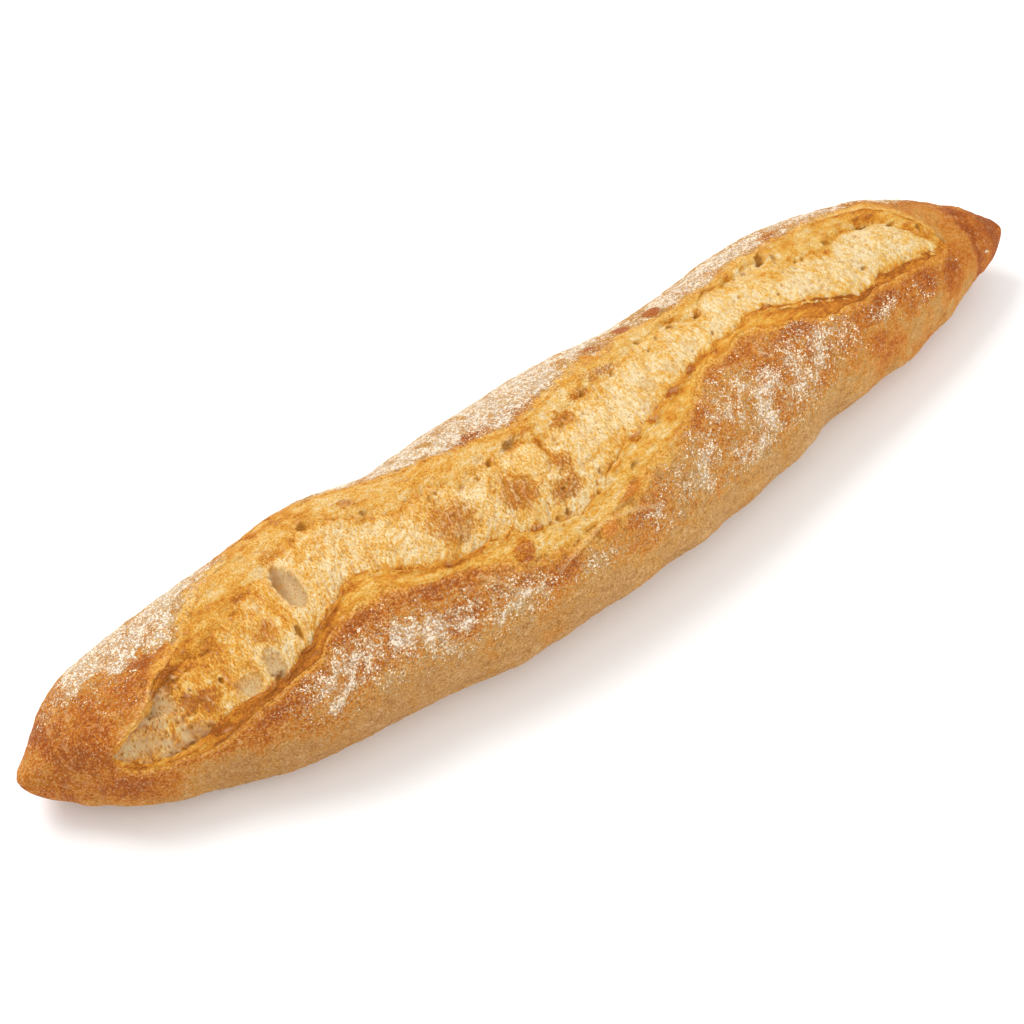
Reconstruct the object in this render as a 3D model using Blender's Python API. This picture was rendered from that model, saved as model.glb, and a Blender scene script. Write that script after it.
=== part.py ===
"""A rustic baguette with one long torn slash, as one closed solid standing on its flat bottom.

The loaf lies along X and rests on the plane z = 0. +Y is the side of the slash's high, rolled lip,
-Y the side of its low ridge, and +Z is up. The origin is under the middle of the loaf's box.
"""
import math

import bpy
import numpy as np

MM = 0.001

# The whole loaf
LENGTH = 400.0 * MM
TIP_HEIGHT = 19.0 * MM        # how far the pointed tips curl up off the table
LIFT_START = 0.70             # share of the half length where the underside leaves the table
HEIGHT_RATIO = 0.70           # height over width in the middle of the loaf
TIP_ROUNDING = 0.15           # how much rounder the section gets towards the tips
WIDEST_AT = 0.40              # height of the widest line, as a share of the section's height
BOTTOM_POWER = 2.8            # squareness of the lower half of the section
BOTTOM_PRESS = 1.10           # how far the dough is pressed past the table before it is cut flat
TABLE_FADE = 0.90             # share of the half length where the tips start to round off

# Outline seen from above: distance from the middle of the loaf, half width, sideways shift (mm)
OUTLINE = (
    (-198, 3.9, 1.7), (-194, 7.5, 1.6), (-188, 12.7, 1.4), (-180, 19.7, -0.3),
    (-170, 25.2, -0.5), (-155, 29.0, -0.6), (-135, 33.6, -3.8), (-110, 38.4, -6.7),
    (-80, 40.6, -6.1), (-50, 40.3, -10.3), (-20, 41.5, -9.1), (20, 41.1, -6.0),
    (50, 39.0, -4.2), (80, 36.8, 1.1), (110, 35.5, 6.4), (135, 32.9, 8.7),
    (155, 28.6, 8.9), (170, 21.9, 7.8), (180, 16.6, 5.5), (188, 12.4, 4.1),
    (194, 8.1, 2.6), (198, 4.3, 1.4),
)
TIP_SHIFT = (1.1, 0.3)        # sideways place of the left and the right tip (mm)

# The slash: four lines that run along the loaf, as distance along it and sideways place (mm)
FAR_EDGE = (                  # where the torn crumb meets the rolled far lip
    (-178, -15), (-156, -11), (-113, -1), (-85, 9), (-58, -1), (-28, -7), (-3, -10),
    (30, 3), (56, 10), (100, 18), (120, 11), (148, 14), (160, 8), (172, -2),
)
NEAR_EDGE = (                 # the crease between the crumb and the near lip
    (-178, -19), (-166, -24), (-125, -31), (-98, -24), (-79, -19), (-60, -28), (-10, -37),
    (15, -27), (50, -13), (76, -4), (90, -1), (110, -6), (130, -9), (145, -5), (172, -6),
)
FAR_LIP_WIDTH = (             # golden shoulder between the crumb and the floury crust
    (-178, 2), (-150, 4), (-130, 10), (-95, 18), (-75, 16), (-50, 14), (-15, 6),
    (5, 9), (40, 7), (90, 6), (112, 12), (145, 14), (160, 11), (172, 4),
)
NEAR_LIP_WIDTH = (            # golden ridge between the crease and the brown crust
    (-178, 2), (-150, 2), (-122, 2.5), (-104, 5), (-75, 7), (-48, 5), (-30, 7.5),
    (-13, 6), (-4, 3.5), (15, 8), (34, 4), (55, 5), (86, 6.5), (110, 4.5), (172, 3),
)
SLASH_ENDS = (-179.0, 173.0)  # where the slash has closed (mm)
SLASH_FADE = 9.0              # length over which its relief dies away at each end (mm)

# Relief of the slash, measured outwards from the smooth crust (mm)
CUT_EDGE_RISE = 0.8           # the far crust edge curls up a little
SHOULDER_DROP = 1.6           # middle of the rolled far lip
FAR_BED_DEPTH = (             # the crumb right under the far lip
    (-178, 3), (-158, 5), (-130, 3.5), (-100, 3), (-60, 3), (-10, 3.5), (20, 4.5),
    (60, 4.5), (105, 5), (150, 4), (172, 1.5),
)
NEAR_BED_DEPTH = (            # the crumb just before the near crease
    (-178, 2), (-150, 3), (-115, 2.4), (-60, 1.2), (0, 1.4), (60, 1.0), (120, 0.8), (172, 0.5),
)
MIDDLE_BED_DEPTH = (
    (-178, 4), (-150, 4.5), (-110, 2.4), (-50, 1.0), (0, 1.2), (60, 1.4), (120, 1.0), (172, 0.5),
)
CREASE_DEPTH = 2.4
NEAR_RIDGE_RISE = 1.1

# Hollows and swellings big enough to feel: place along and across, half length along the slash
# fibres, half width, height (mm, negative is a hollow), turn of the long side from +X (degrees)
SWELLINGS = (
    (-103, -8, 11, 6, -3.2, -88),      # the big oval cavity of the left lobe
    (-120, -27, 7, 4, -2.6, -80),      # cavity against the near lip
    (-109, -23, 5, 2.2, -2.0, -75),
    (-130, -26, 6, 4, -1.8, -70),
    (-13, -12, 8, 7, 2.2, 0),          # the round dome in the middle lobe
    (-17, -5, 4, 3, -2.0, 20),         # shadowed hollow behind the dome
    (-32, -37.5, 5.5, 4.5, 1.6, 0),    # blister on the near lip
    (-2, -43, 5.5, 4, 1.3, 0),         # blister on the near side
    (63, 20.5, 5, 4, 1.6, 0),          # blister on the far crust
    (10, -36, 7, 3, -1.4, 10),         # pocket under the near ridge
    (106, 17, 4, 2.5, -2.4, 0),        # round hole under the far lip
    (-44, -42, 9, 4, -1.0, 10),
)

# Slow waves along the lower sides: size, length, phase (mm, mm, radians)
RIPPLES = ((0.4, 27.0, 0.0), (0.3, 41.0, 1.3), (0.3, 60.0, -0.4))

# The shallow groove that sets off the nub at each end: place, half length, depth (mm)
NECKS = ((183.0, 3.5, 0.7), (-189.0, 3.0, 0.5))

# Limits that keep the slash on the upper side and let it close at the ends
STEEPEST_SHARE = (-0.95, 0.93)                    # of the half width, near side and far side
STEEPEST_ANGLE = math.radians(68)
EVEN_MARKS = np.radians([-58.0, -44.0, 2.0, 22.0])  # the four lines once the slash has closed
CALM_FROM = 172.0             # distance from the middle where the columns start to spread (mm)
LEAST_GAP = math.radians(2.5)

# Limits of the slow waves
WAVE_CENTRE = 1.75            # angle from straight up where the sides wave most (radians)
WAVE_REACH = 0.55
WAVE_END = 185.0              # they have died away at this distance from the middle (mm)
WAVE_FADE = 20.0

# Facets
RINGS = 92
END_CROWDING = 0.80           # how strongly the rings crowd towards the tips
COLUMNS = (13, 4, 9, 5, 13)   # near side, near lip, crumb, far lip, far side


def smooth_curve(points, x):
    """A smooth line through a short list of (place, value) pairs, without overshoot."""
    places = np.array([p[0] for p in points], float)
    values = np.array([p[1] for p in points], float)
    gaps = np.diff(places)
    rises = np.diff(values) / gaps
    slopes = np.zeros(len(places))
    same_way = rises[:-1] * rises[1:] > 0
    before = np.where(same_way, rises[:-1], 1.0)
    after = np.where(same_way, rises[1:], 1.0)
    slopes[1:-1] = np.where(same_way, 2.0 / (1.0 / before + 1.0 / after), 0.0)
    slopes[0] = rises[0]
    slopes[-1] = rises[-1]
    x = np.clip(x, places[0], places[-1])
    cell = np.clip(np.searchsorted(places, x) - 1, 0, len(gaps) - 1)
    t = (x - places[cell]) / gaps[cell]
    start = (1 + 2 * t) * values[cell] + t * gaps[cell] * slopes[cell]
    end = (3 - 2 * t) * values[cell + 1] + (t - 1) * gaps[cell] * slopes[cell + 1]
    return (1 - t) ** 2 * start + t ** 2 * end


def ease(t):
    """A soft step from 0 to 1."""
    t = np.clip(t, 0.0, 1.0)
    return t * t * (3 - 2 * t)


def outline(x):
    """Half width and sideways place of the loaf at a place along it (all in mm)."""
    half = LENGTH / MM / 2
    squares = [(-half, 0.0)] + [(p[0], p[1] ** 2) for p in OUTLINE] + [(half, 0.0)]
    shifts = [(-half, TIP_SHIFT[0])] + [(p[0], p[2]) for p in OUTLINE] + [(half, TIP_SHIFT[1])]
    width = np.sqrt(np.maximum(smooth_curve(squares, x), 0.0))
    for place, reach, depth in NECKS:
        width = width - depth * np.exp(-((x - place) / reach) ** 2)
    return np.maximum(width, 0.0), smooth_curve(shifts, x)


def heights(x, width):
    """Underside, widest line and top of the section (mm)."""
    share = np.abs(x) / (LENGTH / MM / 2)
    lift = np.clip((share - LIFT_START) / (1 - LIFT_START), 0, 1) ** 2
    rounding = np.clip((share - TABLE_FADE) / (1 - TABLE_FADE), 0, 1)
    tall = (HEIGHT_RATIO + TIP_ROUNDING * lift) * 2 * width
    base = TIP_HEIGHT / MM * lift
    top = np.maximum(base + tall * (1 - 0.5 * rounding ** 2), base)
    bottom = np.maximum(base - tall * 0.5 * rounding, 0.0)
    return bottom, bottom + WIDEST_AT * (top - bottom), top


def slash_angles(x, width, shift):
    """Angle from straight up of the near crust edge, near crease, far bed edge and far crust edge."""
    near = smooth_curve(NEAR_EDGE, x)
    far = smooth_curve(FAR_EDGE, x)
    lines = (near - smooth_curve(NEAR_LIP_WIDTH, x), near, far, far + smooth_curve(FAR_LIP_WIDTH, x))
    found = []
    for line in lines:
        share = np.clip((line - shift) / np.maximum(width, 1.0), *STEEPEST_SHARE)
        found.append(np.clip(np.arcsin(share), -STEEPEST_ANGLE, STEEPEST_ANGLE))
    return np.stack(found, axis=-1)


def column_angles(x, width, shift):
    """Angles of every column of one ring, crowded along the slash and evenly spread at the tips."""
    marks = slash_angles(x, width, shift)
    half = LENGTH / MM / 2
    calm = ease((np.abs(x) - CALM_FROM) / (half - CALM_FROM))
    marks = marks * (1 - calm) + EVEN_MARKS * calm
    for index in range(1, 4):
        marks[index] = max(marks[index], marks[index - 1] + LEAST_GAP)
    stops = [-math.pi, *marks, math.pi]
    angles = []
    for index, count in enumerate(COLUMNS):
        angles.extend(np.linspace(stops[index], stops[index + 1], count, endpoint=False))
    return np.array(angles), marks


def slash_relief(x, angles, marks):
    """Height of the slash's lips and bed above the smooth crust (mm)."""
    near_crust, crease, far_bed, far_crust = marks
    fade = ease((x - SLASH_ENDS[0]) / SLASH_FADE) * ease((SLASH_ENDS[1] - x) / SLASH_FADE)
    near_depth = smooth_curve(NEAR_BED_DEPTH, x)
    middle_depth = smooth_curve(MIDDLE_BED_DEPTH, x)
    far_depth = smooth_curve(FAR_BED_DEPTH, x)
    bed = far_bed - crease
    band = crease - near_crust
    shoulder = far_crust - far_bed
    stops = (
        (near_crust - 0.5 * band - 0.02, 0.0), (near_crust, 0.0),
        (near_crust + 0.55 * band, NEAR_RIDGE_RISE), (near_crust + 0.80 * band, 0.6),
        (crease, -CREASE_DEPTH), (crease + 0.12 * bed, -near_depth),
        (crease + 0.5 * bed, -middle_depth), (far_bed - 0.06 * bed, -far_depth),
        (far_bed + 0.25 * shoulder, -0.6 * far_depth),
        (far_bed + 0.6 * shoulder, -SHOULDER_DROP), (far_crust, CUT_EDGE_RISE),
        (far_crust + 0.08, 0.0),
    )
    places = [float(s[0]) for s in stops]
    values = [float(s[1]) for s in stops]
    return fade * np.interp(angles, places, values)


def swelling_relief(x, y, upper):
    """Height of the separate hollows and blisters at a point of the upper surface (mm)."""
    height = np.zeros_like(y)
    for along, across, half_length, half_width, rise, turn in SWELLINGS:
        cosine, sine = math.cos(math.radians(turn)), math.sin(math.radians(turn))
        u = ((x - along) * cosine + (y - across) * sine) / half_length
        v = (-(x - along) * sine + (y - across) * cosine) / half_width
        height += rise * np.maximum(0.0, 1 - u * u - v * v) ** 1.5
    return height * upper


def ring(x):
    """One closed ring of points around the loaf at the place x (mm)."""
    width, shift = (float(v) for v in outline(np.array(x)))
    bottom, widest, top = (float(v) for v in heights(np.array(x), np.array(width)))
    angles, marks = column_angles(np.array(x), width, shift)
    sine, cosine = np.sin(angles), np.cos(angles)
    upper = cosine > 0
    lower_sine = np.sign(sine) * np.abs(sine) ** (2 / BOTTOM_POWER)
    lower_cosine = np.minimum(1.0, BOTTOM_PRESS * np.abs(cosine) ** (2 / BOTTOM_POWER))
    y = shift + width * np.where(upper, sine, lower_sine)
    z = np.where(upper, widest + (top - widest) * cosine, widest - (widest - bottom) * lower_cosine)
    out_y = sine / max(width, 0.5)
    out_z = np.where(upper, cosine, 0.0) / max(top - widest, 0.5)
    length = np.maximum(np.hypot(out_y, out_z), 1e-6)
    out_y, out_z = out_y / length, out_z / length
    push = slash_relief(x, angles, marks) + swelling_relief(x, y, upper)
    side = ease(1 - np.abs(np.abs(angles) - WAVE_CENTRE) / WAVE_REACH)
    side = side * ease((WAVE_END - abs(x)) / WAVE_FADE)
    for size, wave, phase in RIPPLES:
        push = push + size * side * math.sin(2 * math.pi * x / wave + phase)
    return [(x * MM, (y[i] + out_y[i] * push[i]) * MM, (z[i] + out_z[i] * push[i]) * MM)
            for i in range(len(angles))]


def ring_places():
    """Places of the rings along the loaf (mm), closer together near the tips."""
    turn = np.linspace(-math.pi / 2, math.pi / 2, RINGS + 2)[1:-1]
    half = LENGTH / MM / 2
    return half * (END_CROWDING * np.sin(turn) + (1 - END_CROWDING) * turn / (math.pi / 2))


def tip(side):
    """The single point that closes one end of the loaf."""
    shift = TIP_SHIFT[0] if side < 0 else TIP_SHIFT[1]
    return (side * LENGTH / 2, shift * MM, TIP_HEIGHT)


def build_loaf():
    """Join the rings and the two tips into one closed body, centred sideways on its own box."""
    places = ring_places()
    points = [point for place in places for point in ring(float(place))]
    around = sum(COLUMNS)
    faces = []
    for row in range(len(places) - 1):
        for column in range(around):
            after = (column + 1) % around
            a, b = row * around + column, row * around + after
            faces.append((a, a + around, b + around, b))
    left, right = len(points), len(points) + 1
    points += [tip(-1), tip(1)]
    middle = (min(p[1] for p in points) + max(p[1] for p in points)) / 2
    points = [(p[0], p[1] - middle, p[2]) for p in points]
    last = (len(places) - 1) * around
    for column in range(around):
        after = (column + 1) % around
        faces.append((left, column, after))
        faces.append((right, last + after, last + column))
    mesh = bpy.data.meshes.new("loaf")
    mesh.from_pydata(points, [], faces)
    mesh.update()
    mesh.shade_smooth()
    return bpy.data.objects.new("loaf", mesh)


def baked_crust():
    """Golden brown crust, dry and matte."""
    material = bpy.data.materials.new("crust")
    material.use_nodes = True
    shader = material.node_tree.nodes["Principled BSDF"]
    shader.inputs["Base Color"].default_value = (0.62, 0.30, 0.09, 1.0)
    shader.inputs["Roughness"].default_value = 0.75
    return material


for leftover in list(bpy.data.objects):
    bpy.data.objects.remove(leftover, do_unlink=True)
loaf = build_loaf()
loaf.data.materials.append(baked_crust())
bpy.context.scene.collection.objects.link(loaf)
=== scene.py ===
# %% [markdown]
# # A rustic baguette with one long torn slash
# The baker cut the loaf once along its top. In the oven the dough burst out of the cut, lifted one
# side into a high rolled lip and pressed the other into a low ridge, so the top now shows three
# lobes of torn crumb. This lesson dresses the plain solid from the frame with four skins that share
# one surface - crust, far lip, near lip and crumb - and dusts them with real grains of flour.

# %% The frame
import math
from itertools import product

import bpy
import numpy as np
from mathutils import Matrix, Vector


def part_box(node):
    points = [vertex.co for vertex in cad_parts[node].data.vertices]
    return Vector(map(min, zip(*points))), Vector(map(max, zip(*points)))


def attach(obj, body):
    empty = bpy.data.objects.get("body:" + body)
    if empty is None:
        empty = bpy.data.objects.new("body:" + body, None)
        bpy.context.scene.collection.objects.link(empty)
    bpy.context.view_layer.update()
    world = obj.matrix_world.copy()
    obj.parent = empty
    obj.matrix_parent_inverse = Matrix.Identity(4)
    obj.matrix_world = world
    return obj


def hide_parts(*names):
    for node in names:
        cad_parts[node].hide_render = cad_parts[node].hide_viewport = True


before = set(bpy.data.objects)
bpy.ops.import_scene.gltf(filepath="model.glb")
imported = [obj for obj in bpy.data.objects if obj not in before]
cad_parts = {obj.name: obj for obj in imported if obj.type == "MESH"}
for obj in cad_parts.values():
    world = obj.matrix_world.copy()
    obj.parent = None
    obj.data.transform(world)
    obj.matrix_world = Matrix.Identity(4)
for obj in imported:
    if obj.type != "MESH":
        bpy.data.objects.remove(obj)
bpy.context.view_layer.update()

MM = 0.001
low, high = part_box("loaf")
HALF_LENGTH = (high[0] - low[0]) / MM / 2
print(f"the loaf is {2 * HALF_LENGTH:.0f} mm long and {(high[1] - low[1]) / MM:.0f} mm wide")

# %% [markdown]
# ## Numbers that flow
# A loaf has no straight lines. A few listed points and a curve that passes through them without
# overshooting describe it better than many points would. Blender's curve objects could do this too,
# but a function of the place along the loaf can be asked anywhere, at any fineness.

# %% Smooth curves and soft steps
def smooth_curve(points, x):
    """A smooth line through (place, value) pairs that never overshoots them."""
    places, values = (np.array(column, float) for column in zip(*points))
    gaps = np.diff(places)
    rises = np.diff(values) / gaps
    slopes = np.zeros(len(places))
    same_way = rises[:-1] * rises[1:] > 0
    before, after = np.where(same_way, rises[:-1], 1.0), np.where(same_way, rises[1:], 1.0)
    slopes[1:-1] = np.where(same_way, 2.0 / (1.0 / before + 1.0 / after), 0.0)
    slopes[0], slopes[-1] = rises[0], rises[-1]
    x = np.clip(x, places[0], places[-1])
    cell = np.clip(np.searchsorted(places, x) - 1, 0, len(gaps) - 1)
    t = (x - places[cell]) / gaps[cell]
    start = (1 + 2 * t) * values[cell] + t * gaps[cell] * slopes[cell]
    end = (3 - 2 * t) * values[cell + 1] + (t - 1) * gaps[cell] * slopes[cell + 1]
    return (1 - t) ** 2 * start + t ** 2 * end


def ease(t):
    """A soft step: 0 below 0, 1 above 1."""
    t = np.clip(t, 0.0, 1.0)
    return t * t * (3 - 2 * t)


# %% [markdown]
# ## The smooth loaf
# Every skin starts on the same smooth form, which is the frame's: a section that is round above and
# flat below, swept along a slightly snaking line, with pointed tips that curl up off the table.
# A place on it is told by two numbers, how far along the loaf (mm) and the angle round it (degrees):
# 0 is straight up, plus is the side of the high lip, minus is the side of the low ridge.

# %% Outline, section and skin
# Place along the loaf, half width, sideways shift (mm)
OUTLINE = (
    (-198, 3.9, 1.7), (-194, 7.5, 1.6), (-188, 12.7, 1.4), (-180, 19.7, -0.3),
    (-170, 25.2, -0.5), (-155, 29.0, -0.6), (-135, 33.6, -3.8), (-110, 38.4, -6.7),
    (-80, 40.6, -6.1), (-50, 40.3, -10.3), (-20, 41.5, -9.1), (20, 41.1, -6.0),
    (50, 39.0, -4.2), (80, 36.8, 1.1), (110, 35.5, 6.4), (135, 32.9, 8.7),
    (155, 28.6, 8.9), (170, 21.9, 7.8), (180, 16.6, 5.5), (188, 12.4, 4.1),
    (194, 8.1, 2.6), (198, 4.3, 1.4),
)
TIP_SHIFT = (1.1, 0.3)
TIP_HEIGHT = 19.0
NECKS = ((183.0, 3.5, 0.7), (-189.0, 3.0, 0.5))      # grooves behind the nubs: place, reach, depth
LIFT_START, TABLE_FADE = 0.70, 0.90
HEIGHT_RATIO, TIP_ROUNDING, WIDEST_AT = 0.70, 0.15, 0.40
BOTTOM_POWER, BOTTOM_PRESS = 2.8, 1.10


def outline(x):
    """Half width and sideways place of the loaf (mm)."""
    squares = [(-HALF_LENGTH, 0.0)] + [(p[0], p[1] ** 2) for p in OUTLINE] + [(HALF_LENGTH, 0.0)]
    shifts = [(-HALF_LENGTH, TIP_SHIFT[0])] + [(p[0], p[2]) for p in OUTLINE] + [(HALF_LENGTH, TIP_SHIFT[1])]
    width = np.sqrt(np.maximum(smooth_curve(squares, x), 0.0))
    for place, reach, depth in NECKS:
        width = width - depth * np.exp(-((x - place) / reach) ** 2)
    return np.maximum(width, 0.0), smooth_curve(shifts, x)


def heights(x, width):
    """Underside, widest line and top of the section (mm)."""
    share = np.abs(x) / HALF_LENGTH
    lift = np.clip((share - LIFT_START) / (1 - LIFT_START), 0, 1) ** 2
    rounding = np.clip((share - TABLE_FADE) / (1 - TABLE_FADE), 0, 1)
    tall = (HEIGHT_RATIO + TIP_ROUNDING * lift) * 2 * width
    base = TIP_HEIGHT * lift
    top = np.maximum(base + tall * (1 - 0.5 * rounding ** 2), base)
    bottom = np.maximum(base - tall * 0.5 * rounding, 0.0)
    return bottom, bottom + WIDEST_AT * (top - bottom), top


def smooth_skin(x, angle):
    """Points of the smooth loaf (mm) for places along it and angles round it (degrees)."""
    width, shift = outline(x)
    bottom, widest, top = heights(x, width)
    sine, cosine = np.sin(np.radians(angle)), np.cos(np.radians(angle))
    lower_sine = np.sign(sine) * np.abs(sine) ** (2 / BOTTOM_POWER)
    lower_cosine = np.minimum(1.0, BOTTOM_PRESS * np.abs(cosine) ** (2 / BOTTOM_POWER))
    y = shift + width * np.where(cosine > 0, sine, lower_sine)
    z = np.where(cosine > 0, widest + (top - widest) * cosine, widest - (widest - bottom) * lower_cosine)
    return np.stack(np.broadcast_arrays(x, y, z), axis=-1)


def round_radius(x, angle):
    """Distance (mm) that one radian round the loaf covers on its upper half."""
    width, _ = outline(x)
    _, widest, top = heights(x, width)
    turn = np.radians(np.clip(angle, -90, 90))
    return np.hypot(width * np.cos(turn), (top - widest) * np.sin(turn)) + 0.5


print("highest point of the smooth loaf: %.1f mm" % heights(0.0, outline(np.array(0.0))[0])[2])

# %% [markdown]
# ## Chance that repeats
# Bread is full of chance: pores, fibres, blisters, drifts of flour. Blender has noise textures, but
# here the chance has to move real vertices, so two classic recipes are written for numpy: a smooth
# noise, and scattered cells like the bubbles of a foam. Both are worked out from whole numbers, so
# every run bakes the same loaf.

# %% Noise and cells
HASH = np.array([73856093, 19349663, 83492791])


def lattice(corner, seed):
    """A repeatable random number from 0 to 1 for every whole-number corner."""
    key = (corner * HASH[:corner.shape[-1]]).sum(axis=-1) + seed * 668265263
    key = ((key ^ (key >> 15)) * 2246822519) & 0xFFFFFFFF
    key = ((key ^ (key >> 13)) * 3266489917) & 0xFFFFFFFF
    return ((key ^ (key >> 16)) & 0xFFFFFF) / 0xFFFFFF


def noise(points, seed=0, octaves=1):
    """Smooth noise from about -1 to 1, each octave half as large and half as strong."""
    total, size, whole = 0.0, 1.0, 0.0
    for octave in range(octaves):
        spot = points * 2.0 ** octave + 19.7 * octave
        base = np.floor(spot).astype(np.int64)
        part = spot - base
        part = part ** 3 * (part * (part * 6 - 15) + 10)
        layer = 0.0
        for corner in product((0, 1), repeat=spot.shape[-1]):
            weight = np.prod(np.where(np.array(corner), part, 1 - part), axis=-1)
            layer = layer + weight * lattice(base + np.array(corner), seed + octave)
        total, whole, size = total + size * (2 * layer - 1), whole + size, size / 2
    return total / whole * 1.6


def cells(points, seed=0):
    """For points scattered one to a unit cell: distance to the nearest, how much further the second
    is, and the nearest one's own random number."""
    base = np.floor(points).astype(np.int64)
    nearest, second = np.full(points.shape[:-1], 8.0), np.full(points.shape[:-1], 9.0)
    owner = np.zeros(points.shape[:-1])
    for step in product((-1, 0, 1), repeat=points.shape[-1]):
        corner = base + np.array(step)
        spot = corner + np.stack([lattice(corner, seed + k) for k in range(points.shape[-1])], axis=-1)
        distance = np.linalg.norm(points - spot, axis=-1)
        closer = distance < nearest
        second = np.where(closer, nearest, np.minimum(second, distance))
        nearest = np.where(closer, distance, nearest)
        owner = np.where(closer, lattice(corner, seed + 7), owner)
    return nearest, second - nearest, owner


def ridges(points, seed=0, octaves=1, width=0.35):
    """Thin raised lines, 1 on a line and 0 between, where smooth noise changes sign."""
    return np.maximum(0, 1 - np.abs(noise(points, seed, octaves)) / width) ** 1.5


def blur(values, reach):
    """The average over a box of the grid, its half sides counted in rows and columns."""
    for axis, steps in enumerate(reach):
        room = [(0, 0), (0, 0)]
        room[axis] = (steps + 1, steps)
        total = np.cumsum(np.pad(values, room, mode="edge"), axis=axis)
        count = 2 * steps + 1
        values = (np.take(total, range(count, total.shape[axis]), axis)
                  - np.take(total, range(total.shape[axis] - count), axis)) / count
    return values


def relief_of(push, reach, contrast):
    """0.5 on the level, towards 1 on fine ridges and towards 0 in fine gaps: the mask for painted highlight on ridges
    and painted shade in gaps.
    """
    return np.clip(0.5 + contrast * (push - blur(push, reach)), 0, 1)


def grid_of(*parts):
    """Coordinates side by side, for noise() and cells()."""
    return np.stack(np.broadcast_arrays(*parts), axis=-1)


# %% [markdown]
# ## The lines of the tear
# Four lines run along the loaf from tip to tip. Between the two crust edges the skin has torn open.
# Inside lie the far lip, a rolled golden shoulder; the crumb, torn dough that baked in the open; and
# the near lip, a narrow golden band with a ragged crest. All skins read the same lines, so they meet.

# %% Crust edges, bed and crest
# (place along the loaf in mm, angle round it in degrees)
FAR_CRUST = (
    (-178, -45), (-170, -38), (-160, -22), (-150, -8), (-140, 3), (-130, 17), (-120, 28), (-110, 38),
    (-105, 55), (-90, 52), (-70, 42), (-50, 34), (-35, 24), (-20, 17), (-8, 9), (5, 14), (20, 19),
    (35, 22), (45, 27), (60, 27), (85, 26), (100, 26), (112, 24), (125, 23), (140, 25), (150, 23),
    (158, 15), (163, 2), (168, -14), (172, -40),
)
BED = (
    (-178, -48), (-160, -25), (-150, -15), (-140, -8), (-128, 0), (-108, 8), (-95, 14), (-84, 22),
    (-76, 16), (-62, 8), (-50, 9), (-32, 2), (-12, 5), (-5, -3), (3, 0), (12, 5), (28, 10), (42, 19),
    (62, 21), (70, 16), (80, 21), (98, 22), (106, 19), (112, 6), (125, 2), (137, 5), (148, 9),
    (157, 1), (163, -14), (168, -33), (172, -40),
)
CREST = (
    (-178, -52), (-170, -65), (-160, -66), (-150, -62), (-140, -50), (-125, -43), (-110, -36),
    (-100, -27), (-83, -18), (-70, -25), (-52, -30), (-35, -32), (-25, -36), (-15, -42), (0, -41),
    (7, -34), (14, -28), (32, -22), (50, -13), (65, -8), (86, -6), (98, -13), (115, -27), (130, -35),
    (140, -30), (155, -33), (165, -37), (172, -41),
)
NEAR_CRUST = (
    (-178, -56), (-172, -68), (-150, -67), (-140, -58), (-120, -46), (-110, -42), (-100, -32),
    (-88, -29), (-70, -33), (-45, -38), (-35, -44), (-20, -50), (-3, -50), (10, -43), (30, -36),
    (45, -26), (62, -14), (78, -13), (95, -24), (112, -35), (128, -40), (135, -37), (155, -37),
    (172, -42),
)
TEAR_ENDS = (-180.0, 173.0)
TEAR_FADE = 9.0
# How far each line wanders (degrees) at each length of wave (mm)
WANDER = {"far_crust": ((1.2, 9.0), (0.8, 2.6)), "bed": ((2.2, 9.0), (1.0, 2.4)),
          "crest": ((0.9, 9.0), (0.9, 3.0)), "near_crust": ((0.9, 11.0), (0.6, 3.0))}


def wandering(points, name, x):
    """One line of the tear with its small irregular wander."""
    line = smooth_curve(points, x)
    for index, (size, wave) in enumerate(WANDER[name]):
        line = line + size * noise(grid_of(x / wave), seed=len(name) * 5 + index)
    return line


def tear_lines(x):
    """Angles of the near crust edge, the crest, the bed's far edge and the far crust edge."""
    near_crust = wandering(NEAR_CRUST, "near_crust", x)
    crest = np.maximum(wandering(CREST, "crest", x), near_crust + 0.8)
    bed = np.maximum(wandering(BED, "bed", x), crest + 1.0)
    far_crust = np.maximum(wandering(FAR_CRUST, "far_crust", x), bed + 1.0)
    middle = (near_crust + far_crust) / 2
    open_share = np.sqrt(np.clip((x - TEAR_ENDS[0]) / TEAR_FADE, 0, 1) * np.clip((TEAR_ENDS[1] - x) / TEAR_FADE, 0, 1))
    return tuple(middle + (line - middle) * open_share for line in (near_crust, crest, bed, far_crust))


def tear_fade(x):
    """1 along the tear, falling to 0 where it closes at both ends."""
    return ease((x - TEAR_ENDS[0]) / TEAR_FADE) * ease((TEAR_ENDS[1] - x) / TEAR_FADE)


widest_place = np.arange(-170.0, 170.0)
opening = tear_lines(widest_place)
print("the crumb is up to %.0f degrees wide" % np.max(opening[2] - opening[1]))

# %% [markdown]
# ## Landmarks
# What makes this one loaf itself is a set of landmarks: a big oval cavity, a round dome, toasted
# patches, pits and blisters. Each is a soft round blob given by its place, angle, half length, half
# angle and strength. Sculpting by hand would do as well, but a named list is easy to read and change.

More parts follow.
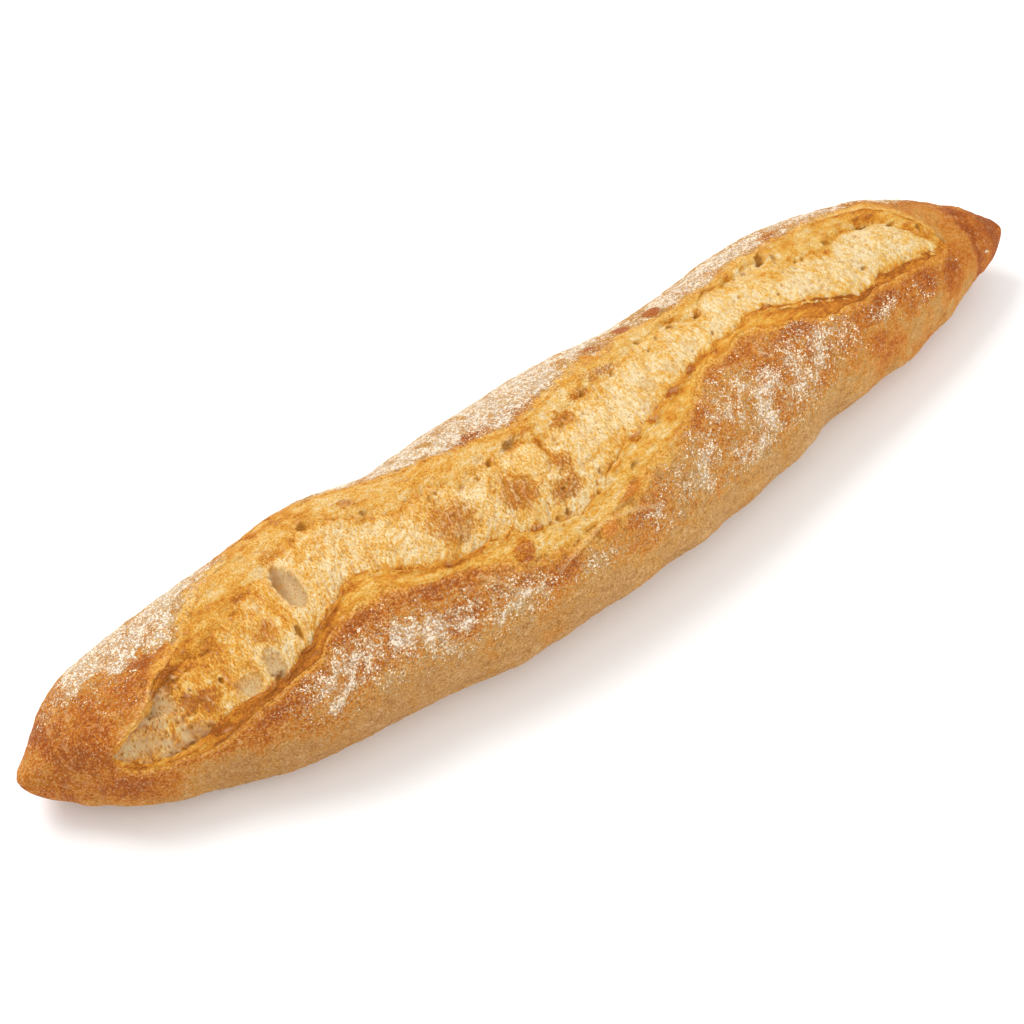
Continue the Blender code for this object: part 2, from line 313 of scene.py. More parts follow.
# %% Hollows, pits, domes and toasted patches
# (place mm, angle, half length mm, half angle, depth mm)
HOLLOWS = (
    (-103.5, -2, 3.6, 14.5, 2.8),    # the big oval cavity of the left lobe
    (-169, -49, 10, 11, 1.2), (-156, -27, 5, 7, 1.6), (-149, -53, 4, 7, 0.8),
    (-121, -34, 3.2, 10, 1.4), (-130, -38, 4.5, 7, 1.0),
    (38, -7, 3.2, 6, 0.6), (49, -5, 3.0, 5, 0.6), (32, -17, 3, 5, 0.5), (61, 0, 3, 5, 0.4),
)
PITS = (
    (-109, -26, 1.2, 5, 1.3), (-136.5, -28, 0.9, 3.4, 1.5), (-121.5, -41, 2.0, 2.6, 1.4),
    (-85, 24, 2.8, 4.5, 1.6), (-67, 15, 1.3, 2.2, 1.0), (-76, 17, 1.2, 1.6, 0.8),
    (-153, -9, 1.8, 1.4, 1.0), (-147.5, -16, 1.4, 1.6, 1.0), (-143, -13, 1.4, 1.6, 0.8),
    (-135, -9, 3.0, 1.2, 0.8), (-122, 2, 2.0, 1.2, 0.8), (-47, 6, 1.2, 1.8, 0.8), (-44.5, 7, 1.0, 1.6, 0.7),
    (-24.5, 3, 1.5, 2.2, 1.3), (-31, 0, 1.0, 1.8, 0.7), (-14, 5, 5.0, 2.6, 1.1), (-7, -5, 1.0, 3.0, 0.6),
    (-8, -33, 1.0, 1.5, 0.9), (-12.5, -38.5, 1.2, 1.8, 1.1), (-17, -38, 1.2, 1.8, 1.0),
    (-9.5, -27.5, 0.9, 1.4, 0.8), (1.5, -35, 1.2, 2.4, 0.7), (4.5, -31, 1.2, 2.2, 0.7),
    (0, -39, 0.9, 1.4, 0.8), (-2, -5, 1.0, 1.5, 0.6), (-2, -8, 1.0, 1.4, 0.6), (4, -1, 1.6, 1.6, 0.9),
    (6.5, 1, 1.2, 1.6, 0.9), (17, 7, 1.6, 1.5, 0.9), (31.5, 9.5, 1.6, 1.8, 1.0), (24, 12, 1.5, 1.8, 0.7),
    (62.5, 20, 2.2, 2.2, 1.2), (54.5, 17, 1.5, 2.4, 0.9), (48, 20, 1.6, 1.8, 0.8),
    (48.5, 11.5, 1.2, 1.6, 0.8), (72.5, 14, 2.2, 2.4, 1.3), (88, 5, 1.0, 1.6, 0.9),
    (71, -1.5, 1.0, 1.6, 0.9), (60.5, -3, 0.8, 1.3, 0.6), (106, 18, 2.4, 3.4, 1.9),
    (110, 13, 1.6, 3.0, 1.0), (98, 18, 1.8, 2.6, 0.8), (115.5, 4.5, 1.0, 1.8, 0.8),
    (118.5, 3.5, 1.0, 1.8, 0.8), (131, 6, 2.4, 2.0, 0.8), (148, 9.5, 5.0, 1.6, 1.4),
    (157, 1, 2.4, 1.8, 1.4), (164.5, -13, 1.0, 4.0, 1.2), (161, 18, 1.2, 2.0, 0.8),
    (100, -8, 1.0, 1.4, 0.8), (135, -22, 1.6, 1.8, 0.8), (16, -37, 1.9, 2.2, 1.0),
    (-176, -61, 1.2, 1.4, 0.8), (-152, -60, 1.6, 1.8, 0.9), (-92, 2, 1.0, 2.5, 0.8),
)
# (place mm, angle, half length mm, half angle, height mm)
DOMES = (
    (-13, -7, 6.5, 9.5, 1.9), (17, -5, 4.5, 8, 0.9), (-48, -11, 7, 11, 0.6), (-24, -19, 6, 7, 0.6),
    (-118, -15, 7, 12, 0.8), (-32.5, -42.5, 4.5, 6.5, 1.5), (-25, -36, 2.5, 2.0, 0.9),
    (-3, -56, 4.2, 4.5, 1.3), (8, -46, 5, 3, 0.7), (33, 31, 3.2, 3.2, 1.0), (63, 36, 3.2, 5.5, 1.5),
    (-69, 24, 3, 4.5, 1.1), (39.5, -25, 3.0, 4.0, 0.7), (22, -26, 2.6, 2, 0.7), (31, -24, 2.4, 2, 0.7),
    (43, -17, 3.0, 2, 0.9), (53, -12, 2.2, 2, 0.9), (-142, -56, 3, 3, 0.8), (-88, -20, 2.5, 2.5, 0.6),
)
# (place mm, angle, half length mm, half angle, strength)
TOASTED = (
    (-47, -12, 9, 13, 0.85), (-48, -20, 5, 5, 0.8), (-24, -18, 8.5, 9, 1.0), (-22, -22, 4, 4, 0.8),
    (-9, -28, 8, 6, 0.95), (-5, -17, 4, 7, 0.9), (-7, -6, 1.8, 10, 0.6), (5, 1, 6, 4.5, 0.9),
    (-101, 18, 5, 6, 0.6), (-118, -17, 5, 7, 0.6), (-145, -34, 8, 8, 0.85), (-132, -30, 6, 8, 0.3),
    (16, 8, 5, 3, 0.75), (30, 13.5, 9, 2.8, 0.8), (-14, 3, 5, 3, 0.5), (-118, 8, 5, 4, 0.4),
    (-147, -11, 9, 3.5, 0.45), (-160, -36, 3, 6, 0.3), (-33, -42, 4.4, 6.5, 1.0),
    (-25, -36, 2.4, 2.2, 0.95),
    (33, 31, 3.0, 2.8, 0.9), (62.5, 37, 3.6, 7.0, 0.95), (-69, 25, 3, 5, 1.0), (24, 15, 9, 3, 0.45),
    (-3, -57, 4.4, 4.0, 0.3), (9, -47, 6, 2.6, 0.25),
    (17, 10, 4, 2.5, 0.5), (24, 11, 3.5, 2.5, 0.5), (21, -27, 3, 2.0, 0.75), (30, -24, 3, 2.0, 0.75),
    (42, -17, 3.6, 2.2, 0.85), (53, -12, 2.4, 2.4, 0.9), (73, 15, 3.4, 3.5, 0.5),
    (63, 21, 3.5, 3.0, 0.2), (-142, -56, 3, 2.5, 0.9), (-87, 10, 6, 4, 0.15), (-88, -21, 5, 3.0, 0.5),
    (60, -9, 4, 1.6, 0.4), (-10, 6, 9, 2.5, 0.5), (-26, 4, 5, 2.5, 0.35), (49, 38, 3.4, 7.0, 0.9),
    (-98, 46, 2.5, 9.0, 0.6), (-86, 50, 5, 3.0, 0.6), (-76, 44, 4, 3.0, 0.5),
)
# Bright orange blisters below the near lip: (place mm, angle, half length mm, half angle, strength)
ORANGE = ((-3, -56, 5.4, 5.6, 1.5), (9, -46.5, 9, 4.0, 1.5), (-38, -42, 3, 4, 0.5))


# Long soft ridges of stretched dough below the near lip: (place mm, angle) points of each
FOLDS = (((-24, -60), (-14, -55), (-4, -51), (6, -54), (18, -61)), ((-50, -41), (-45, -49), (-38, -61)),
         ((-14, -46), (-2, -50), (10, -44)))


def along_folds(x, angle):
    """Nearness to the folds, 1 on their ridges (a degree counts as 0.6 mm)."""
    found = np.zeros(np.broadcast(x, angle).shape)
    for fold in FOLDS:
        for (x0, a0), (x1, a1) in zip(fold, fold[1:]):
            run, climb = x1 - x0, 0.6 * (a1 - a0)
            share = np.clip(((x - x0) * run + 0.6 * (angle - a0) * climb) / (run ** 2 + climb ** 2), 0, 1)
            away = np.hypot(x - x0 - share * run, 0.6 * (angle - a0) - share * climb)
            found = np.maximum(found, np.exp(-(away / 0.9) ** 2))
    return found


def blobs(x, angle, table, power=1.0, ragged=0.0, seed=40, shady=False):
    """The strongest soft blob of a table at each point, or only the side of it that lies in its own shade."""
    found = np.zeros(np.broadcast(x, angle).shape)
    uneven = 1.0 if not ragged else 1 + ragged * noise(grid_of(x / 1.6, angle / 2.7), seed, octaves=3)
    for place, turn, half_length, half_angle, strength in table:
        along, up = (x - place) / half_length, (angle - turn) / half_angle
        reach = along ** 2 + up ** 2
        near = reach < 4
        if near.any():
            value = strength * np.maximum(0, 1 - reach * uneven) ** power
            if shady:
                value = value * np.clip(0.35 + 0.5 * up - 0.6 * along, 0.05, 1)
            found = np.where(near, np.maximum(found, value), found)
    return found


def torn_marks(x, angle):
    """How toasted torn dough is, and how much painted shade it gets on the shaded side of pits and hollows."""
    toast = blobs(x, angle, TOASTED, power=0.6, ragged=0.5)
    pit = blobs(x, angle, PITS, power=0.8, ragged=0.6, shady=True) / 0.7
    shade = blobs(x, angle, HOLLOWS, power=0.35, ragged=0.3, shady=True) / 2.6
    return toast, np.clip(np.maximum(pit, shade), 0, 1)


print(f"{len(HOLLOWS)} hollows, {len(PITS)} pits, {len(DOMES)} domes, {len(TOASTED)} toasted patches")

# %% [markdown]
# ## The dough under every skin
# Slow swells of the dough belong to the whole loaf, so all four skins share them. Each skin is a
# grid of points on the smooth form that is then pushed outwards, each point along its own normal.
# A displacement modifier could push the points too, but here the push depends on the lines of the
# tear and on the landmarks, so plain arithmetic on arrays is the clearer tool.

# %% Swells, normals and the push
RIPPLES = ((0.5, 27.0, 0.0), (0.4, 41.0, 1.3), (0.3, 60.0, -0.4))   # size, wave (mm), phase
RIPPLE_ANGLE, RIPPLE_REACH, RIPPLE_END = 100.0, 32.0, 185.0


def swells(points, x, angle):
    """Bulges and pimples of the dough, shared by all skins (mm)."""
    calm = ease((HALF_LENGTH - 6 - np.abs(x)) / 20)
    push = calm * (0.45 * noise(points / 34, seed=3) + 0.22 * noise(points / 13, seed=4))
    push = push + 0.16 * noise(points / 4.2, seed=5, octaves=2) + 0.14 * noise(points / 1.8, seed=6, octaves=2)
    side = ease(1 - np.abs(np.abs(angle) - RIPPLE_ANGLE) / RIPPLE_REACH) * ease((RIPPLE_END - np.abs(x)) / 20)
    for size, wave, phase in RIPPLES:
        push = push + size * side * np.sin(2 * math.pi * x / wave + phase)
    dents = 0.5 * noise(grid_of(x / 13, angle / 22), seed=9, octaves=2)
    return push + dents * side + 0.6 * along_folds(x, angle)


def outward(points):
    """Unit normals of a grid of points."""
    along = np.gradient(points, axis=0)
    across = np.gradient(points, axis=1)
    normal = np.cross(across, along)
    return normal / np.maximum(np.linalg.norm(normal, axis=-1, keepdims=True), 1e-9)


def landmarks(x, angle):
    """Push of hollows, pits and domes (mm)."""
    push = blobs(x, angle, DOMES, power=1.0, ragged=0.2)
    push = push - blobs(x, angle, HOLLOWS, power=0.5, ragged=0.25)
    return push - 0.75 * blobs(x, angle, PITS, power=0.9, ragged=0.6)


# %% [markdown]
# ## From grid to mesh
# A grid of points becomes a mesh with one quad per square of the grid. Soft masks worked out along
# the way - how baked, how floury - are stored on the vertices as attributes, which the materials
# read later. The grid also gives a tidy UV map, without seams through the middle of a lobe.

# %% Mesh builder
def skin_mesh(name, points, masks, keep=None, wrap=False, tips=()):
    """A mesh object from a grid of points in mm, with its masks as attributes and a grid UV map."""
    rows, columns = points.shape[:2]
    row, column = np.meshgrid(np.arange(rows - 1), np.arange(columns if wrap else columns - 1), indexing="ij")
    after = (column + 1) % columns
    quads = np.stack([row * columns + column, (row + 1) * columns + column,
                      (row + 1) * columns + after, row * columns + after], axis=-1).reshape(-1, 4)
    squares = np.stack([row, column], axis=-1).reshape(-1, 2)
    if keep is not None:
        kept = keep.ravel()[quads].any(axis=1)
        quads, squares = quads[kept], squares[kept]
    faces = quads.tolist()
    vertices = points.reshape(-1, 3)
    count = len(vertices)
    for index, tip in enumerate(tips):
        vertices = np.vstack([vertices, tip])
        first = 0 if index == 0 else (rows - 1) * columns
        for start in range(columns):
            pair = [first + start, first + (start + 1) % columns]
            faces.append([count + index] + (pair if index == 0 else pair[::-1]))
    used = np.unique(np.concatenate([quads.ravel(), np.arange(count, len(vertices))]))
    renumber = np.full(len(vertices), -1)
    renumber[used] = np.arange(len(used))
    mesh = bpy.data.meshes.new(name)
    mesh.from_pydata((vertices[used] * MM).tolist(), [], [[int(renumber[v]) for v in face] for face in faces])
    for mask, values in masks.items():
        values = np.concatenate([np.broadcast_to(values, (rows, columns)).ravel(), np.zeros(len(tips))])
        for index in range(len(tips)):
            values[count + index] = values[0 if index == 0 else count - 1]
        mesh.attributes.new(mask, "FLOAT", "POINT").data.foreach_set("value", values[used].astype(np.float32))
    corners = np.array([[0, 0], [1, 0], [1, 1], [0, 1]])
    uv = (squares[:, None, :] + corners[None]) / [rows - 1, columns if wrap else columns - 1]
    uv = np.vstack([uv.reshape(-1, 2)] + [tip_uv(index, columns) for index in range(len(tips))])
    mesh.uv_layers.new(name="OFBake").data.foreach_set("uv", (0.01 + 0.98 * uv).ravel().astype(np.float32))
    mesh.shade_smooth()
    piece = bpy.data.objects.new(name, mesh)
    bpy.context.scene.collection.objects.link(piece)
    print(f"{name}: {sum(len(face) - 2 for face in faces)} triangles")
    return piece


def tip_uv(index, columns):
    """UV corners of the fan that closes one tip."""
    start = np.arange(columns) / columns
    pair = [start, start + 1 / columns] if index == 0 else [start + 1 / columns, start]
    edge = 0.0 if index == 0 else 1.0
    corners = [np.stack([np.full(columns, edge), value], axis=-1) for value in (start + 0.5 / columns, *pair)]
    return np.stack(corners, axis=1).reshape(-1, 2)


# %% [markdown]
# ## The crust
# The crust is a closed skin round the whole loaf with a window where the dough tore. Its rows of
# points crowd together at the tips, where the loaf curves most, and its columns follow the two crust
# edges, so the window's rim is a clean line. Inside the rim the skin dives under the lips, which
# gives the torn edge a thickness without any gap to look through.

# %% Baking and flour of the crust
# (place mm, angle, half length mm, half angle, strength)
BAKED = (
    (-182, -38, 12, 40, 0.8), (-185, -20, 22, 75, 0.5), (-185, 60, 16, 60, 0.6), (-172, -82, 22, 22, 0.7),
    (-95, -37, 24, 7, 1.0),
    (-150, -68, 22, 8, 0.75), (-130, -58, 24, 9, 0.8), (-112, -50, 16, 6, 0.65),
    (-72, -38, 42, 9, 0.85), (-160, -8, 24, 24, 0.4), (-150, 4, 10, 8, 0.8), (-158, 25, 20, 18, 0.5),
    (-92, -50, 36, 20, 0.62), (-60, -56, 16, 14, 0.65),
    (-128, -75, 30, 12, 0.42), (-40, -52, 14, 12, 0.55), (-60, -66, 8, 6, 0.5), (-22, -62, 12, 10, 0.5),
    (10, -60, 12, 9, 0.55), (98, -30, 22, 8, 0.72), (70, -20, 22, 6, 0.55), (42, -34, 14, 7, 0.5),
    (128, -44, 20, 14, 0.7), (150, -44, 24, 26, 0.66), (128, -78, 14, 22, 0.55), (170, -60, 14, 26, 0.75),
    (184, -20, 16, 90, 0.68), (174, 25, 20, 30, 0.4), (150, 42, 26, 12, 0.35), (-5, 20, 14, 6, 0.75),
    (-22, 22, 12, 6, 0.9), (-98, 60, 22, 12, 0.55), (118, 34, 26, 4, 0.3),
    (-3, -56, 6, 6, 0.95), (9, -46, 9, 5, 0.95), (0, -56, 34, 9, 0.25), (82, -44, 50, 34, 0.34),
    (12, -72, 44, 16, 0.16),
    (195, -20, 8, 160, 1.0),
)
FLOURED = (
    (-152, 34, 46, 42, 1.5), (-130, 44, 30, 34, 1.6), (-168, -16, 14, 12, 0.6), (-176, -44, 10, 9, 0.45),
    (-164, 4, 24, 18, 0.75), (-2, 42, 70, 40, 1.7), (-50, 54, 44, 24, 1.3), (30, 48, 42, 30, 1.4),
    (128, 31, 20, 9, 1.5), (92, 36, 26, 11, 1.8), (168, 36, 16, 16, 1.2), (92, -64, 20, 12, 1.1),
    (88, 42, 54, 24, 1.6), (135, 44, 46, 20, 1.4), (116, 29, 18, 8, 1.2), (160, 38, 18, 14, 0.8),
    (-120, 42, 22, 18, 1.3), (84, 32, 30, 13, 1.4), (-98, -57, 34, 25, 1.0), (-78, -59, 44, 29, 1.1),
    (-108, -66, 20, 20, 0.9), (-46, -62, 32, 24, 0.9), (-10, -67, 15, 11, 0.95),
    (3, -61, 10, 8, 0.7), (68, -44, 56, 32, 0.95), (92, -50, 46, 36, 0.95), (42, -58, 44, 30, 0.85),
    (66, -64, 58, 22, 0.95), (16, -66, 30, 22, 0.7), (133, -49, 14, 12, 0.9), (148, -58, 22, 18, 0.75),
    (166, -48, 8, 7, 0.7), (187.5, -70, 1.8, 5, 1.6), (-178, 10, 14, 30, 0.5),
)
# Painted shade on the crust, darker and greyer: low on the near side of the left lobe and beside the left tip
PAINTED_SHADE_PATCHES = ((-125, -92, 80, 28, 1.0), (-192, -50, 16, 34, 0.9), (-40, -92, 50, 20, 0.6))
PALE_SIDE = (-66.0, -92.0)       # between these angles the near side turns pale
DARK_ENDS = (166.0, 24.0)        # the tips start to brown here, over this length (mm)


def crust_masks(points, x, angle):
    """How baked and how floury the crust is, each from 0 to 1."""
    pale = ease((PALE_SIDE[0] - angle) / (PALE_SIDE[0] - PALE_SIDE[1]))
    pale = pale * ease((150 - np.abs(x + 20)) / 30)
    patchy = noise(points / 11, seed=21, octaves=3)
    runs = noise(grid_of(x / 7, angle / 45), seed=24, octaves=2)
    bake = 0.30 + blobs(x, angle, BAKED, power=0.8, ragged=0.2, seed=51) * 0.75
    tips = ease((np.abs(x) - DARK_ENDS[0]) / DARK_ENDS[1])
    bake = np.maximum(bake, tips * np.where(x < 0, 0.68, 0.58)) * (1 - 0.75 * pale)
    for place, _, _ in NECKS:
        bake = bake + 0.3 * np.exp(-((x - place) / 1.6) ** 2)
    bake = bake + 0.16 * patchy + 0.12 * runs
    flour = blobs(x, angle, FLOURED, power=1.2, ragged=0.3, seed=52)
    drift = noise(points / 5.5, seed=23, octaves=3) * 0.5 + 0.5
    return np.clip(bake, 0, 1), np.clip(flour * (0.45 + 0.8 * drift), 0, 1)


# %% The crust skin
NEAR_COLUMNS, TEAR_COLUMNS, FAR_COLUMNS = 104, 20, 86
STEP_ALONG = 0.86                # between rings (mm)
TIP_ZONE, TIP_RINGS = 15.0, 28   # the rings crowd together over the last stretch
OVERLAP = 1.3                    # how far the crust runs in under the lips (mm)
TIP_MARKS = (-75.0, 25.0)        # angles of the two edges' columns once the tear has closed
LEAST_WINDOW = 10.0
# How far the crust edges curl up (mm): the far one by place, the near one all along
FAR_CURL = ((-178, 0.4), (-160, 0.8), (-152, 0.6), (-142, 0.0), (-110, 0.0), (-70, 0.2), (-30, 0.3),
            (20, 0.3), (60, 0.2), (110, 0.3), (150, 0.5), (172, 0.2))
NEAR_CURL = 0.15
# How far the torn dough's gold runs out over the crust (mm): beyond the far edge, beyond the near edge
FAR_GOLD = ((-178, 0.6), (-160, 1), (-150, 3), (-135, 5), (-110, 6), (-80, 3), (-30, 2), (20, 4), (60, 3.5),
            (110, 3.5), (150, 5), (172, 4))
NEAR_GOLD = ((-178, 2), (-140, 2.5), (-100, 1.6), (-55, 2.2), (-30, 4), (0, 5), (20, 4), (60, 2.2), (100, 2),
             (130, 2.5), (172, 3))
# How strongly the fine grain of the crust shows (the left side baked rougher)
GRIT = ((-200, 0.95), (-150, 1.0), (-120, 1.2), (-40, 1.2), (0, 1.05), (80, 1.0), (130, 0.75), (200, 0.4))


def crust_rings():
    """Places of the crust's rings (mm)."""
    middle = np.arange(-HALF_LENGTH + TIP_ZONE, HALF_LENGTH - TIP_ZONE, STEP_ALONG)
    turn = np.linspace(0, math.pi / 2, TIP_RINGS + 2)[1:-1]
    end = HALF_LENGTH - TIP_ZONE + TIP_ZONE * np.sin(turn)
    return np.concatenate([-end[::-1], middle, end])


def crust_grid():
    """Places and angles of the crust's grid points."""
    x = crust_rings()
    near, _, _, far = tear_lines(x)
    closing = ease((np.abs(x - 0.5 * sum(TEAR_ENDS)) - 175) / 8)
    near = near * (1 - closing) + smooth_curve(((-200, TIP_MARKS[0]), NEAR_CRUST[0], NEAR_CRUST[-1],
                                                (200, TIP_MARKS[0])), x) * closing
    far = far * (1 - closing) + smooth_curve(((-200, TIP_MARKS[1]), FAR_CRUST[0], FAR_CRUST[-1],
                                              (200, TIP_MARKS[1])), x) * closing
    short = np.maximum(LEAST_WINDOW - (far - near), 0) / 2
    near, far = (near - short)[:, None], (far + short)[:, None]
    spread = np.linspace(0, 1, NEAR_COLUMNS, endpoint=False)
    near_side = near + (-180 - near) * (0.6 * spread + 0.4 * spread ** 2)
    window = near + (far - near) * np.linspace(0, 1, TEAR_COLUMNS + 1)[1:]
    spread = np.linspace(0, 1, FAR_COLUMNS, endpoint=False)[1:]
    far_side = far + (180 - far) * (0.6 * spread + 0.4 * spread ** 2)
    return x[:, None], np.concatenate([near_side[:, ::-1], window, far_side], axis=1)


def build_crust():
    """The crust, pushed out and torn open."""
    x, angle = crust_grid()
    points = smooth_skin(x, angle)
    near, crest, bed, far = tear_lines(x)
    radius = round_radius(x, angle) * math.pi / 180
    inside = np.minimum(angle - near, far - angle) * radius
    from_far, from_near = (angle - far) * radius, (near - angle) * radius
    fade = tear_fade(x)
    push = swells(points, x, angle) + blobs(x, angle, DOMES, power=1.0, ragged=0.2)
    curl = smooth_curve(FAR_CURL, x)
    rim = np.where(from_far > from_near, curl * np.exp(-(np.maximum(from_far, 0) / 2.6) ** 2),
                   NEAR_CURL * np.exp(-(np.maximum(from_near, 0) / 2.2) ** 2))
    push = push + fade * rim
    # This fine relief, with the folds' ridges added, is the mask for painted shade in fine gaps and a painted highlight
    # on fine ridges, domes and folds
    relief = np.clip(relief_of(push, (2, 3), 2.2) + 0.3 * along_folds(x, angle), 0, 1)
    push = push - fade * np.minimum(2.6 * np.maximum(inside, 0), 4.0)
    push = push * (1 - ease((np.abs(angle) - 128) / 14))
    bake, flour = crust_masks(points, x, angle)
    outside = np.maximum(-inside, 0)
    reach = np.where(from_far > from_near, smooth_curve(FAR_GOLD, x), smooth_curve(NEAR_GOLD, x))
    reach = reach * (1.1 + 0.6 * noise(grid_of(x / 7, angle / 9), 61, octaves=2))
    gold = fade * np.exp(-(outside / np.maximum(reach, 0.6)) ** 2)
    gold = np.maximum(gold, blobs(x, angle, ORANGE, power=0.6, ragged=0.3))
    toast = blobs(x, angle, TOASTED, power=0.6, ragged=0.2)
    flour = flour * (1 - 0.5 * gold) * (1 - np.clip(1.5 * toast, 0, 1))
    normal = outward(points)
    normal = normal * np.sign((normal * (points - smooth_centre(x))).sum(axis=-1, keepdims=True))
    points = points + normal * push[..., None]
    points[..., 2] = np.maximum(points[..., 2], 0.0)
    tips = [(-HALF_LENGTH, TIP_SHIFT[0], TIP_HEIGHT), (HALF_LENGTH, TIP_SHIFT[1], TIP_HEIGHT)]
    masks = {"bake": bake, "flour": flour, "toast": toast, "relief": relief, "gold": gold,
             "grit": smooth_curve(GRIT, x), "dim": blobs(x, angle, PAINTED_SHADE_PATCHES)}
    return points, masks, inside < OVERLAP, tips, normal


def smooth_centre(x):
    """The middle of the section at each place (mm)."""
    width, shift = outline(x)
    bottom, widest, _ = heights(x, width)
    return np.stack(np.broadcast_arrays(x, shift, widest), axis=-1)


crust_points, crust_mask, crust_keep, crust_tips, crust_normal = build_crust()
low_side, high_side = crust_points[..., 1].min(), crust_points[..., 1].max()
TO_FRAME = np.array([0.0, (low[1] + high[1]) / 2 / MM - (low_side + high_side) / 2, 0.0])
print("moved sideways by %.2f mm to sit on the frame's box" % TO_FRAME[1])
crust = skin_mesh("crust", crust_points + TO_FRAME, crust_mask, keep=crust_keep, wrap=True,
                  tips=crust_tips + TO_FRAME)

# %% [markdown]
# ## Crumb, far lip and near lip
# Inside the window three finer grids follow the lines of the tear, with points about 0.4 mm apart,
# fine enough for single fibres. Torn crumb is made of three things: long strands pulled across the
# tear as the lobes opened, foam with round pores, and slow lumps. The strands are noise that is
# stretched one way, the foam is noise and cells, and how much there is of each changes from lobe to
# lobe.

# %% Depth of the bed
# (place mm, push mm) just behind the crest, in the middle, and under the far lip
NEAR_DEPTH = ((-178, -1.0), (-150, -1.6), (-115, -1.2), (-60, -0.4), (0, -0.6), (60, -0.2), (120, 0.0), (172, 0.0))
MIDDLE_DEPTH = ((-178, -1.6), (-150, -2.2), (-130, -1.4), (-110, -0.8), (-50, -0.1), (0, -0.3), (30, -0.4),
                (60, -0.3), (120, 0.2), (172, 0.0))
FAR_DEPTH = ((-178, -1.4), (-158, -2.2), (-130, -1.2), (-100, -0.8), (-60, -0.7), (-10, -1.0), (20, -1.2),
             (60, -1.0), (105, -1.4), (150, -2.0), (172, -0.8))
# (place mm, share of strands, the rest is foam)
STRANDS = ((-178, 0.35), (-160, 0.3), (-142, 0.45), (-128, 0.9), (-60, 0.9), (-20, 0.85), (5, 0.8), (30, 0.85),
           (60, 0.5), (85, 0.25), (172, 0.15))
# (place mm, how much the strands lean towards the right tip as they climb)
LEAN = ((-140, 0.0), (-100, 0.1), (-70, 0.6), (-20, 0.6), (10, 0.1), (60, 0.0), (100, -0.3), (172, -0.3))
STEP_FINE = 0.40
TUCK = 1.6                      # how far each skin runs in under its neighbour (mm)


def tear_grid(first, second, columns):
    """Places, angles, local scale and lines for a skin between two of the four lines."""
    x = np.arange(TEAR_ENDS[0], TEAR_ENDS[1], STEP_FINE)[:, None]
    lines = tear_lines(x)
    scale = round_radius(x, 0.5 * (lines[first] + lines[second])) * math.pi / 180
    start, stop = lines[first] - TUCK / scale, lines[second] + TUCK / scale
    angle = start + (stop - start) * np.linspace(0, 1, columns)
    return x, angle, round_radius(x, angle) * math.pi / 180, lines


def crumb_texture(x, side):
    """Strands, foam and pores at a place along the loaf and a distance round it (mm)."""
    share = smooth_curve(STRANDS, x)
    lean = smooth_curve(LEAN, x)
    warp = 1.6 * noise(grid_of(x / 10, side / 12), seed=71) + 0.5 * noise(grid_of(x / 3, side / 4), seed=70)
    along = x + warp - lean * side
    strands = ridges(grid_of(along / 1.5, side / 11.0), seed=72, octaves=2, width=0.45)
    threads = ridges(grid_of(along / 0.9, side / 6.0), seed=73, width=0.6)
    ropes = noise(grid_of((along + warp) / 3.2, side / 12.0), seed=74)
    foam = noise(grid_of(x / 1.4, side / 1.5), seed=75, octaves=3)
    gap, wall, owner = cells(grid_of(along / 1.4, side / (1.5 + 3.0 * share)), seed=77)
    bubbles = ease(wall / 0.35) * (0.4 + 0.6 * owner)
    coarse = ease((-138 - x) / 10) * np.clip(1.3 - gap / 0.3, 0, 1) * (owner > 0.6)      # the left pocket's holes
    gap, _, owner = cells(grid_of(along / 5.2, side / (5.2 + 3.0 * share)), seed=79)
    pores = np.maximum(coarse, np.clip(1.1 - gap / (0.14 * owner), 0, 1) * (owner > 0.92))
    fine = share * (0.45 * strands + 0.30 * threads + 0.22 * ropes - 0.3) + (1.1 - share) * 0.28 * foam
    fine = fine - (0.30 - 0.16 * share) * bubbles
    return fine, pores, share, np.maximum(strands, 0.7 * threads)


def skin_base(x, angle, scale):
    """Smooth points, their normals and the shared push of a skin inside the window."""
    points = smooth_skin(x, angle)
    normal = outward(points)
    normal = normal * np.sign((normal * (points - smooth_centre(x))).sum(axis=-1, keepdims=True))
    return points, normal, swells(points, x, angle) + tear_fade(x) * landmarks(x, angle)


# %% Browning of the torn dough
# How baked the crumb is before chance has its say, by place, and the same of the far lip
BED_TONE = ((-178, 0.20), (-150, 0.19), (-60, 0.15), (-10, 0.20), (15, 0.20), (45, 0.17), (85, 0.15), (112, 0.06),
            (172, 0.05))
LIP_TONE = ((-178, 0.62), (-150, 0.5), (-130, 0.36), (-60, 0.33), (-40, 0.27), (30, 0.27), (70, 0.18), (100, 0.18),
            (125, 0.34), (172, 0.36))
# How strongly the finest grain of the torn dough shows
TORN_GRIT = ((-178, 1.5), (-130, 1.3), (-40, 1.35), (20, 1.15), (60, 0.95), (172, 0.85))
ROUND_DOME = ((-14, -6, 7.5, 11, 1.0),)   # the smooth pale dome of the middle lobe
DOME_TONE = 0.24
# Golden and pale stretches of the tear: place mm, angle, half length mm, half angle, more or less baked
GOLDEN = ((-138, -8, 24, 30, 0.34), (-155, -45, 18, 24, 0.30), (-118, -5, 14, 22, 0.20), (-55, 0, 14, 8, 0.12),
          (-7, -8, 2, 9, 0.3), (45, 10, 10, 8, 0.10), (106, 8, 9, 14, 0.14), (165, -10, 8, 30, 0.25),
          (-95, 35, 20, 16, 0.14), (130, 13, 24, 8, 0.14), (-88, 14, 12, 8, 0.14),
          (155, -30, 22, 6, 0.2), (20, -22, 14, 4, 0.16), (164, -35, 6, 8, 0.32), (-138, -30, 16, 12, 0.3),
          (152, 18, 12, 8, 0.28), (-170, -34, 10, 8, 0.3))


